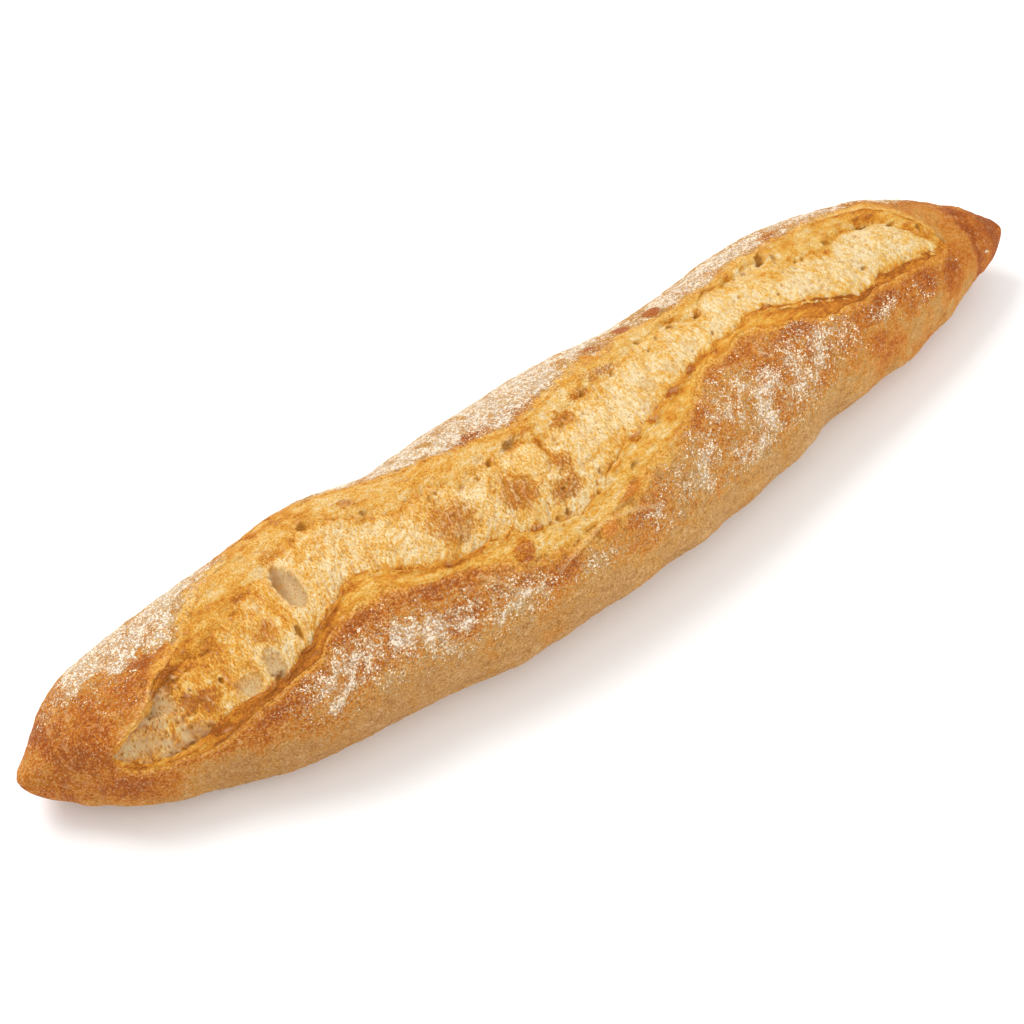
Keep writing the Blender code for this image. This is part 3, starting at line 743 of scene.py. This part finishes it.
def torn_bake(x, side, past_bed, strands, fine, toast):
    """How baked torn dough is, running on smoothly from the crumb over the far lip."""
    drifts = ease((noise(grid_of(x / 9, side / 7), seed=83, octaves=3) + 0.35) / 0.9)
    angle = side / round_radius(x, 0.0) * 180 / math.pi
    on_lip = ease((past_bed + 4.5) / 7.5)
    tone = smooth_curve(BED_TONE, x) * (1 - on_lip) + smooth_curve(LIP_TONE, x) * on_lip + 0.17 * drifts
    rim = 0.12 * np.exp(-((past_bed - 0.3) / 1.1) ** 2)
    flecks = noise(grid_of(x / 1.2, side / 1.6), seed=85, octaves=2)
    coarse = ease((-140 - x) / 10)          # the left pocket
    tone = tone + rim + 0.26 * (strands - 0.35) + 0.30 * fine + (0.06 + 0.20 * coarse) * flecks + 0.12 * coarse
    tone = tone + (DOME_TONE - tone) * 0.8 * blobs(x, angle, ROUND_DOME, power=0.5)
    return tone + 0.35 * toast * (1 + 0.5 * flecks) + blobs(x, angle, GOLDEN, power=0.7)


# %% The crumb
CRUMB_COLUMNS = 100


def build_crumb():
    """The torn bed between the crest and the far lip."""
    x, angle, scale, (near, crest, bed, far) = tear_grid(1, 2, CRUMB_COLUMNS)
    points, normal, push = skin_base(x, angle, scale)
    across = np.clip((angle - crest) / (bed - crest), -0.2, 1.2)
    side = angle * scale
    depths = [smooth_curve(table, x) for table in (NEAR_DEPTH, MIDDLE_DEPTH, FAR_DEPTH)]
    to_middle, to_far = ease((across - 0.06) / 0.44), ease((across - 0.5) / 0.44)
    floor = depths[0] * (1 - to_middle) + depths[1] * (to_middle - to_far) + depths[2] * to_far
    crease = -0.15 * np.exp(-((angle - crest) * scale / 0.9) ** 2)
    # Smooth hollows, and the walls of the deep left pocket, are painted greyer: their own paler crumb, partly painted
    # shade of the recess
    hollow = np.clip(blobs(x, angle, HOLLOWS, power=0.8, ragged=0.3) / 1.2, 0, 1)
    dusk = ease((-146 - x) / 8) * (0.5 + 0.6 * noise(grid_of(x / 3, side / 3), seed=86, octaves=2))
    hollow = np.maximum(hollow, np.clip(dusk, 0, 1))
    toast, pit = torn_marks(x, angle)
    fine, pores, share, strands = crumb_texture(x, side)
    calm = (1 - 0.85 * hollow) * (1 - 0.7 * blobs(x, angle, ROUND_DOME, power=0.5))
    lump = 0.5 * noise(grid_of(x / 7, side / 6), seed=81, octaves=2)
    fade = tear_fade(x)
    push = push + fade * (floor + crease + calm * (lump + fine * (1 + 0.6 * toast) - 0.35 * pores)) - 0.6 * (1 - fade)
    points = points + normal * push[..., None]
    ragged = 0.5 + 0.6 * noise(grid_of(x / 2.5, side / 2.5), seed=87, octaves=2)
    near_rim = np.exp(-((angle - crest) * scale / 2.0) ** 2) * ragged
    bake = torn_bake(x, side, (angle - bed) * scale, strands, calm * fine, toast) + 0.5 * near_rim
    # The hollow mask greys smooth hollows, their own paler crumb and partly painted shade; the pit mask is painted
    # shade in pits, hollows and pores; relief paints shade in fine gaps and a highlight on fine ridges
    masks = {"bake": np.clip(bake, 0, 1), "toast": toast, "hollow": hollow * (1 - 0.6 * pores),
             "pit": np.clip(np.maximum(pit, pores * (0.45 + 0.5 * ease((-138 - x) / 10))), 0, 1),
             "relief": relief_of(push, (4, 4), 0.8), "grit": smooth_curve(TORN_GRIT, x)}
    return points, masks


crumb_points, crumb_mask = build_crumb()
crumb = skin_mesh("crumb", crumb_points + TO_FRAME, crumb_mask)

# %% The far lip
FAR_LIP_COLUMNS = 52


def build_far_lip():
    """The rolled golden shoulder between the crumb and the far crust."""
    x, angle, scale, (near, crest, bed, far) = tear_grid(2, 3, FAR_LIP_COLUMNS)
    points, normal, push = skin_base(x, angle, scale)
    side = angle * scale
    across = np.clip((angle - bed) / (far - bed), 0, 1)
    depth = smooth_curve(FAR_DEPTH, x)
    flap = 0.9 * ease((-146 - x) / 6)      # on the left the crust stands clear of the lip
    roll = 0.72 * depth * (1 - ease(across / 0.55)) - 0.5 * (1 - across) ** 2
    roll = roll + across ** 2 * (smooth_curve(FAR_CURL, x) - flap) - 0.05
    below, above = np.maximum((bed - angle) * scale, 0), np.maximum((angle - far) * scale, 0)
    fine, pores, share, strands = crumb_texture(x, side)
    inner = 1 - ease(across / 0.55)
    streaks = noise(grid_of(x / 4, side / 1.2), seed=91, octaves=3)
    grain = noise(grid_of(x / 1.3, side / 1.2), seed=94, octaves=2)
    lump = 0.4 * noise(grid_of(x / 6, side / 5), seed=92, octaves=2)
    fade = tear_fade(x)
    texture = lump + inner * (fine - 0.6 * pores) + (1 - inner) * (0.16 * streaks + 0.12 * grain)
    push = push + fade * (roll + texture) - 0.6 * (1 - fade)
    # mask for painted shade in fine gaps and a painted highlight on fine ridges
    relief = relief_of(push, (4, 5), 0.9)
    push = push - fade * (2.0 * below + 1.2 * above)
    points = points + normal * push[..., None]
    toast, pit = torn_marks(x, angle)
    bake = torn_bake(x, side, (angle - bed) * scale, inner * strands, 0.5 * texture, toast)
    edge = np.exp(-((far - angle) * scale / 1.8) ** 2) * ease((x + 105) / 20)
    bake = bake + 0.2 * edge + 0.14 * streaks + 0.08 * grain
    # the pit mask is painted shade in pits, hollows and pores; relief paints shade in gaps and a highlight on ridges
    masks = {"bake": np.clip(bake, 0, 1), "toast": toast, "hollow": np.zeros_like(bake),
             "pit": np.clip(np.maximum(pit, inner * pores * 0.4), 0, 1), "relief": relief,
             "grit": smooth_curve(TORN_GRIT, x)}
    return points, masks


far_lip_points, far_lip_mask = build_far_lip()
far_lip = skin_mesh("far_lip", far_lip_points + TO_FRAME, far_lip_mask)

# %% The near lip
NEAR_LIP_COLUMNS = 36
# (share of the way from the crust edge to the crest, push mm)
NEAR_PROFILE = ((0.0, 0.12), (0.25, 0.35), (0.45, 0.30), (0.70, -0.25), (0.84, -0.05), (0.95, 0.30), (1.0, 0.30))
# How baked the band is, by place: dark towards both tips, golden between
NEAR_TONE = ((-178, 0.5), (-155, 0.55), (-142, 0.80), (-112, 0.80), (-98, 0.64), (-85, 0.42), (-50, 0.40), (-20, 0.26),
             (0, 0.24), (20, 0.30), (50, 0.42), (92, 0.50), (108, 0.70), (122, 0.78), (160, 0.74), (172, 0.5))
# How strongly its relief shows: it melts into the crust towards both tips
NEAR_RELIEF = ((-178, 0.3), (-150, 0.5), (-130, 0.8), (-60, 0.9), (-20, 0.6), (90, 0.9), (115, 0.6), (135, 0.25), (172, 0.2))


def build_near_lip():
    """The narrow golden band with its ragged crest."""
    x, angle, scale, (near, crest, bed, far) = tear_grid(0, 1, NEAR_LIP_COLUMNS)
    points, normal, push = skin_base(x, angle, scale)
    side = angle * scale
    across = (angle - near) / (crest - near)
    band = smooth_curve(NEAR_PROFILE, np.clip(across, 0, 1))
    ragged = 0.30 * noise(grid_of(x / 3.2, side / 3), seed=101, octaves=3) + 0.30 * noise(grid_of(x / 14), seed=103)
    at_crest = ease((across - 0.55) / 0.4)
    below, above = np.maximum((near - angle) * scale, 0), np.maximum((angle - crest) * scale, 0)
    streaks = noise(grid_of(x / 6, side / 0.9), seed=104, octaves=3)
    grain = noise(grid_of(x / 1.2, side / 1.1), seed=105, octaves=2)
    fade, strength = tear_fade(x), smooth_curve(NEAR_RELIEF, x)
    relief = strength * (band + at_crest * ragged + 0.10 * streaks) + 0.08 * grain
    push = push + fade * relief - 0.6 * (1 - fade)
    # mask for painted shade in fine gaps and a painted highlight on fine ridges
    shade = relief_of(push, (4, 5), 0.8)
    push = push - fade * (0.9 * below + 2.4 * above)
    points = points + normal * push[..., None]
    toast, pit = torn_marks(x, angle)
    from_crest = (crest - angle) * scale
    uneven = 0.6 + 0.7 * noise(grid_of(x / 5, side / 3), 106, octaves=3)
    # The crest line and the groove below it are painted browner: partly a more baked line, partly painted shade in the
    # crease under the crest
    crest_tone = np.exp(-((from_crest - 0.3) / 0.9) ** 2) * uneven
    groove = np.exp(-((across - 0.62) / 0.2) ** 2) * uneven
    edge = np.exp(-((angle - near) * scale / 1.4) ** 2)
    bake = smooth_curve(NEAR_TONE, x) + strength * (0.42 * crest_tone + 0.20 * groove) + 0.12 * edge
    bake = bake + 0.4 * toast + 0.15 * streaks + 0.10 * grain
    # the pit mask is painted shade in pits and hollows; relief paints shade in gaps and a highlight on ridges
    masks = {"bake": np.clip(bake, 0, 1), "toast": toast, "hollow": np.zeros_like(bake), "pit": pit,
             "relief": shade, "grit": smooth_curve(TORN_GRIT, x)}
    return points, masks


near_lip_points, near_lip_mask = build_near_lip()
near_lip = skin_mesh("near_lip", near_lip_points + TO_FRAME, near_lip_mask)

# %% [markdown]
# ## Writing a finish as a formula
# Shader nodes are wires between boxes. A small class that wraps one wire lets Python's own signs
# stand for Math nodes, so a finish reads like a formula. A second class keeps one material and adds
# any other node. Painting an image would be the other way, but a formula stays sharp at any size.

# %% Wires and finishes
def hue(code):
    """A colour from its usual six-digit code, in the linear light that shaders work in."""
    parts = [int(code[place:place + 2], 16) / 255 for place in (0, 2, 4)]
    return tuple(c / 12.92 if c <= 0.04045 else ((c + 0.055) / 1.055) ** 2.4 for c in parts) + (1.0,)


class Wire:
    """A shader socket that can be used in arithmetic."""

    def __init__(self, finish, socket):
        self.finish, self.socket = finish, socket

    def calc(self, operation, *values, clamp=False):
        settings = {"operation": operation, "use_clamp": clamp}
        return self.finish.node("ShaderNodeMath", settings, dict(enumerate(values)))

    def __add__(self, other):
        return self.calc("ADD", self, other)

    def __sub__(self, other):
        return self.calc("SUBTRACT", self, other)

    def __rsub__(self, other):
        return self.calc("SUBTRACT", other, self)

    def __mul__(self, other):
        return self.calc("MULTIPLY", self, other)

    def __truediv__(self, other):
        return self.calc("DIVIDE", self, other)

    __radd__ = __add__
    __rmul__ = __mul__

    def clamp(self):
        return self.calc("ADD", self, 0.0, clamp=True)


class Finish:
    """One material: its shader and the nodes that feed it."""

    def __init__(self, name, **plain):
        self.material = bpy.data.materials.new(name)
        self.material.use_nodes = True
        self.tree = self.material.node_tree
        self.shader = self.tree.nodes["Principled BSDF"]
        self.place = self.node("ShaderNodeTexCoord", out="Object")
        for socket, value in plain.items():
            self.feed(socket.replace("_", " "), value)

    def node(self, kind, settings=None, sockets=None, out=0):
        """Any node: its settings first, then the values or wires of its sockets."""
        made = self.tree.nodes.new(kind)
        for name, value in (settings or {}).items():
            if name == "stops":
                self.fill_ramp(made.color_ramp.elements, value)
            else:
                setattr(made, name, value)
        for name, value in (sockets or {}).items():
            self.join(made.inputs[name], value)
        return Wire(self, made.outputs[out])

    def fill_ramp(self, elements, stops):
        while len(elements) < len(stops):
            elements.new(1.0)
        for element, (position, code) in zip(elements, stops):
            element.position, element.color = position, hue(code)

    def join(self, socket, value):
        if isinstance(value, Wire):
            self.tree.links.new(value.socket, socket)
        else:
            socket.default_value = value

    def feed(self, socket, value):
        self.join(self.shader.inputs[socket], value)

    def mask(self, name):
        """A mask stored on the vertices."""
        return self.node("ShaderNodeAttribute", {"attribute_name": name}, out="Fac")

    def grain(self, size, detail=2.0, rough=0.5, twist=0.0, stretch=None):
        """Noise from 0 to 1 whose lumps are about this many millimetres across."""
        place = self.place
        if stretch:
            place = self.node("ShaderNodeVectorMath", {"operation": "MULTIPLY"}, {0: place, 1: stretch})
        return self.node("ShaderNodeTexNoise", None, {
            "Vector": place, "Scale": 1 / (size * MM), "Detail": detail, "Roughness": rough,
            "Distortion": twist}, out="Fac")

    def bubbles(self, size, feature="F1"):
        """Distance to the nearest of points scattered this many millimetres apart."""
        return self.node("ShaderNodeTexVoronoi", {"feature": feature}, {
            "Vector": self.place, "Scale": 1 / (size * MM)}, out="Distance")

    def rise(self, value, start, stop):
        """A soft step from 0 at start to 1 at stop."""
        return self.node("ShaderNodeMapRange", {"interpolation_type": "SMOOTHSTEP"}, {
            "Value": value, "From Min": start, "From Max": stop})

    def ramp(self, value, stops):
        return self.node("ShaderNodeValToRGB", {"stops": stops}, {"Fac": value})

    def blend(self, first, second, amount):
        """Two colours mixed."""
        second = hue(second) if isinstance(second, str) else second
        return self.node("ShaderNodeMix", {"data_type": "RGBA"}, {0: amount, 6: first, 7: second}, out=2)

    def paint_shade_and_highlight(self, colour, relief, amount, gap):
        """A colour with painted shade in fine gaps and a painted highlight on fine ridges."""
        colour = self.blend(colour, gap, self.rise(0.5 - relief, 0.0, 0.5) * amount)
        return self.blend(colour, HIGHLIGHT_AND_SPECK_CREAM, self.rise(relief, 0.55, 1.0) * (amount * 0.6))

    def bump(self, height, depth, strength=1.0):
        """Fine relief, its depth in millimetres."""
        self.feed("Normal", self.node("ShaderNodeBump", None, {
            "Height": height, "Distance": depth * MM, "Strength": strength}))


# %% [markdown]
# ## Crust finish
# Crust browns unevenly: pale tan where the sides faced each other, gold on top, red-brown at the
# tips and along torn edges. Flour lies on it in drifts that break up into specks. The masks give the
# broad picture and noise breaks it up, so no edge is drawn with a ruler.
# Painted shade darkens fine gaps and the low near side of the left lobe, and a painted highlight lightens fine ridges,
# domes and folds.

# %% Crust
CRUST_TONES = ((0.0, "C09056"), (0.22, "C4904A"), (0.40, "CC8838"), (0.60, "C47622"), (0.80, "B66018"), (1.0, "9A4A12"))
TORN_TONES = ((0.0, "F2DEB2"), (0.2, "ECC67C"), (0.4, "E6AE4C"), (0.6, "DA9030"), (0.8, "C07026"), (1.0, "94501C"))
# The shade brown is painted shade in fine gaps and low on the near side, and also the dark specks of the grain; the
# glint cream is a painted highlight on fine ridges, and also the pale specks of the grain
FLOUR_WHITE, SHADE_AND_SPECK_BROWN, HIGHLIGHT_AND_SPECK_CREAM, TOAST_BROWN, RUST = "FFF0DC", "8A4E1C", "F2D09A", "B06430", "A64A12"
FLOUR_HAZE, FLOUR_CREAM, BLISTER = "F0CA90", "FFE2B8", "D88428"


def crust_finish():
    finish = Finish("crust_baked", Specular_IOR_Level=0.1)
    flour, bake, toast = finish.mask("flour"), finish.mask("bake"), finish.mask("toast")
    mottle = finish.grain(4.0, detail=4, rough=0.6)
    speck = finish.grain(1.0, detail=3, rough=0.7)
    grit = finish.mask("grit")
    powder, drift = finish.grain(0.8, detail=4, rough=0.75), finish.grain(2.6, detail=4, rough=0.65)
    thick = finish.rise(flour + (drift - 0.5) * 0.5, 0.7, 1.05)
    tone = bake + (mottle - 0.5) * 0.9 + (speck - 0.5) * grit * (bake + 0.5) * 1.3
    gold = finish.mask("gold")
    edge = finish.rise(gold + (mottle - 0.5) * 1.2, 0.2, 0.8)
    torn = finish.ramp((0.30 + bake * 0.45 + (speck - 0.5) * 0.9 + (mottle - 0.5) * 0.6).clamp(), TORN_TONES)
    colour = finish.blend(finish.ramp(tone.clamp(), CRUST_TONES), torn, edge)
    # painted shade in the crust's fine gaps and a painted highlight on its fine ridges, domes and folds
    colour = finish.paint_shade_and_highlight(colour, finish.mask("relief"), 0.5, SHADE_AND_SPECK_BROWN)
    colour = finish.blend(colour, BLISTER, finish.rise(gold + (speck - 0.5) * 0.6, 1.0, 1.3) * 0.85)
    colour = finish.blend(colour, RUST, finish.rise(toast * (speck * 2.4 - 0.1), 0.1, 0.75) * 0.9)
    colour = finish.blend(colour, FLOUR_HAZE, thick * 0.5)
    # fine dark and pale specks of the crust's grain
    dots = finish.grain(0.75, detail=4, rough=0.75)
    colour = finish.blend(colour, SHADE_AND_SPECK_BROWN, finish.rise(0.5 - dots, 0.0, 0.16) * grit * 0.7)
    colour = finish.blend(colour, HIGHLIGHT_AND_SPECK_CREAM, finish.rise(dots, 0.5, 0.7) * grit * 0.54)
    # painted shade low on the near side of the left lobe and beside the left tip
    colour = finish.blend(colour, SHADE_AND_SPECK_BROWN, finish.mask("dim") * 0.28)
    dusting = finish.rise(flour * 0.72 + (powder - 0.5) * 3.8 + (drift - 0.5) * 1.2, 0.6, 0.85)
    dusting = dusting * finish.rise(flour, 0.02, 0.2)
    colour = finish.blend(colour, finish.blend(hue(FLOUR_CREAM), FLOUR_WHITE, thick), dusting * 0.92)
    finish.feed("Base Color", colour)
    finish.feed("Roughness", (finish.rise(flour, 0.0, 0.6) * 0.2 + speck * 0.2 + 0.55).clamp())
    finish.bump(speck + dots * 0.6 + dusting * 0.3, 0.9)
    return finish.material


crust.data.materials.append(crust_finish())

# %% [markdown]
# ## Crumb finish
# Torn crumb is cream where it was last to open and gold where the oven reached it first. Raised
# strands brown before the gaps between them. Smooth hollows are greyer, partly their own crumb and
# partly painted shade; pits, pores and fine gaps get painted shade and fine ridges a painted highlight.

# %% Crumb and lips
# The hollow grey is the smooth hollows' own greyer crumb, partly painted shade; the pore brown is painted shade in
# pits, hollows and pores; the gap gold is painted shade in fine gaps and also darker specks of the grain
HOLLOW_GREY_AND_SHADE, PIT_SHADE_BROWN, GAP_SHADE_AND_SPECK_GOLD = "CDB084", "84501A", "C07E28"


def torn_finish(name, stretch, spread, shade, brown):
    finish = Finish(name, Roughness=0.8, Specular_IOR_Level=0.1)
    bake, hollow, pit, toast = (finish.mask(name) for name in ("bake", "hollow", "pit", "toast"))
    speck = finish.grain(0.55, detail=4, rough=0.75, stretch=stretch)
    drift = finish.grain(3.5, detail=3, rough=0.6)
    grit = finish.mask("grit")
    tone = bake + (speck - 0.5) * grit * spread + (drift - 0.5) * spread * 0.25
    colour = finish.ramp(tone.clamp(), TORN_TONES)
    colour = finish.blend(colour, brown, finish.rise(toast * (speck * 6.0 - 2.0), 0.1, 1.2) * 0.92)
    # painted shade in fine gaps and a painted highlight on fine ridges
    colour = finish.paint_shade_and_highlight(colour, finish.mask("relief"), shade, GAP_SHADE_AND_SPECK_GOLD)
    # greyer smooth hollows, partly painted shade
    colour = finish.blend(colour, HOLLOW_GREY_AND_SHADE, (hollow * (speck * 1.8 - 0.05)).clamp())
    # painted shade in pits, hollows and pores
    colour = finish.blend(colour, PIT_SHADE_BROWN, (finish.rise(pit, 0.1, 1.0) * 0.75).clamp())
    # fine darker specks of the grain
    dots = finish.grain(0.5, detail=4, rough=0.75, stretch=stretch)
    colour = finish.blend(colour, GAP_SHADE_AND_SPECK_GOLD, finish.rise(0.5 - dots, 0.0, 0.16) * grit * 0.75)
    finish.feed("Base Color", colour)
    finish.bump(speck + dots * 0.6, 0.7)
    return finish.material


crumb.data.materials.append(torn_finish("crumb_torn", (1.0, 0.45, 0.45), 1.7, 1.0, TOAST_BROWN))
far_lip.data.materials.append(torn_finish("lip_rolled", (0.8, 1.0, 1.0), 1.5, 0.7, RUST))
near_lip.data.materials.append(torn_finish("lip_band", (0.45, 1.0, 1.0), 1.1, 0.5, RUST))

# %% [markdown]
# ## Loose flour
# The flour that was dusted on before baking still lies on the crust as tiny clumps. Each clump is a
# squashed eight-sided grain a fraction of a millimetre across, set down on the crust at random, more
# often where the flour mask is strong. Geometry Nodes could scatter them too; arrays keep them real.

# %% Grains of flour
GRAINS = 12000
GRAIN_SIZE = (0.09, 0.36)        # half width of the smallest and largest clumps (mm)
DUST_FLOOR = 0.30                # thinner flour than this leaves no clumps


def scatter_flour():
    """One mesh of many small clumps lying on the crust."""
    chance = np.random.default_rng(11)
    clusters = np.maximum(0, noise(crust_points / 1.7, seed=111, octaves=2) + 0.1)
    weight = np.where(crust_keep & (crust_mask["flour"] > DUST_FLOOR), crust_mask["flour"] - DUST_FLOOR, 0)
    weight = (weight * clusters)[:-1, :-1].ravel()
    rows, columns = crust_points.shape[:2]
    chosen = chance.choice(weight.size, GRAINS, p=weight / weight.sum())
    row, column = np.divmod(chosen, columns - 1)
    a, b = chance.random((2, GRAINS, 1))
    start = crust_points[row, column]
    place = start + a * (crust_points[row + 1, column] - start) + b * (crust_points[row, column + 1] - start)
    normal = crust_normal[row, column]
    size = GRAIN_SIZE[0] + (GRAIN_SIZE[1] - GRAIN_SIZE[0]) * chance.random((GRAINS, 1)) ** 2.5
    sideways = np.cross(normal, chance.normal(size=(GRAINS, 3)))
    sideways /= np.linalg.norm(sideways, axis=1, keepdims=True)
    forwards = np.cross(normal, sideways)
    uneven = 0.6 + 0.8 * chance.random((GRAINS, 6, 1))
    arms = np.stack([sideways, forwards, -sideways, -forwards, 0.55 * normal, -0.5 * normal], axis=1)
    vertices = (place + 0.02 * normal)[:, None] + arms * size[:, None] * uneven
    ring = [(0, 1, 4), (1, 2, 4), (2, 3, 4), (3, 0, 4), (1, 0, 5), (2, 1, 5), (3, 2, 5), (0, 3, 5)]
    faces = (np.arange(GRAINS)[:, None, None] * 6 + np.array(ring)[None]).reshape(-1, 3)
    mesh = bpy.data.meshes.new("flour")
    mesh.from_pydata(((vertices.reshape(-1, 3) + TO_FRAME) * MM).tolist(), [], faces.tolist())
    piece = bpy.data.objects.new("flour", mesh)
    bpy.context.scene.collection.objects.link(piece)
    print(f"flour: {len(faces)} triangles in {GRAINS} clumps")
    return piece


def flour_finish():
    finish = Finish("flour_dust", Roughness=0.95)
    finish.feed("Base Color", finish.blend(hue("FCEEDA"), "EFD4AC", finish.grain(2.0, detail=2)))
    finish.bump(finish.grain(0.15, detail=2), 0.05)
    return finish.material


flour = scatter_flour()
flour.data.materials.append(flour_finish())

# %% [markdown]
# ## Onto the frame
# Each skin rides on the loaf's one body and stands in for the plain solid.

# %% Ride and replace
for piece, slot in ((crust, "crust"), (far_lip, "lip"), (near_lip, "lip"), (crumb, "crumb"), (flour, "flour")):
    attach(piece, "root")
    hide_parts("loaf")
print("five pieces ride on the root body")

# %% [markdown]
# ## Table, light and camera
# A pale table and a bright, even sky keep the shadows soft, as in a light tent. One large lamp high
# behind the loaf lights the far side a little more and shades the hollows, whose painted shade adds to it.

# %% Stage
def pale_table():
    mesh = bpy.data.meshes.new("table")
    reach = 4.0
    mesh.from_pydata([(-reach, -reach, 0), (reach, -reach, 0), (reach, reach, 0), (-reach, reach, 0)], [],
                     [(0, 1, 2, 3)])
    table = bpy.data.objects.new("table", mesh)
    bpy.context.scene.collection.objects.link(table)
    finish = Finish("table_pale", Roughness=0.9)
    finish.feed("Base Color", finish.blend(hue("FAFAFA"), "F7F7F7", finish.grain(300)))
    mesh.materials.append(finish.material)
    return table


def aim(item, place, target):
    item.location = place
    item.rotation_euler = (Vector(target) - Vector(place)).to_track_quat("-Z", "Y").to_euler()
    bpy.context.scene.collection.objects.link(item)
    return item


pale_table()
sky = bpy.data.worlds.new("sky")
sky.use_nodes = True
sky.node_tree.nodes["Background"].inputs["Color"].default_value = (1.0, 1.0, 1.0, 1.0)
sky.node_tree.nodes["Background"].inputs["Strength"].default_value = 0.87
bpy.context.scene.world = sky
# (name, place, width and height in metres, power)
LAMPS = (("key", (-0.35, 0.75, 1.15), (1.0, 0.8), 15.0), ("fill", (0.35, -1.2, 0.55), (1.2, 0.8), 7.0))
for name, place, (wide, tall), power in LAMPS:
    lamp = bpy.data.lights.new(name, "AREA")
    lamp.shape, lamp.size, lamp.size_y, lamp.energy = "RECTANGLE", wide, tall, power
    aim(bpy.data.objects.new(name, lamp), place, (0, 0, 0.03))
bpy.context.scene.view_settings.view_transform = "Standard"

CAMERA_AZIMUTH, CAMERA_HEIGHT = math.radians(-36.68), math.radians(50.0)
CAMERA_DISTANCE = 1.379
LOOK_AT = Vector((-0.0173, -0.0053, 0.03))
back = Vector((math.sin(CAMERA_AZIMUTH) * math.cos(CAMERA_HEIGHT),
               -math.cos(CAMERA_AZIMUTH) * math.cos(CAMERA_HEIGHT), math.sin(CAMERA_HEIGHT)))
lens = bpy.data.cameras.new("camera")
lens.lens, lens.sensor_width = 150.0, 36.0
camera = aim(bpy.data.objects.new("camera", lens), LOOK_AT + back * CAMERA_DISTANCE, LOOK_AT)
bpy.context.scene.camera = camera
print("camera stands %.2f m away" % CAMERA_DISTANCE)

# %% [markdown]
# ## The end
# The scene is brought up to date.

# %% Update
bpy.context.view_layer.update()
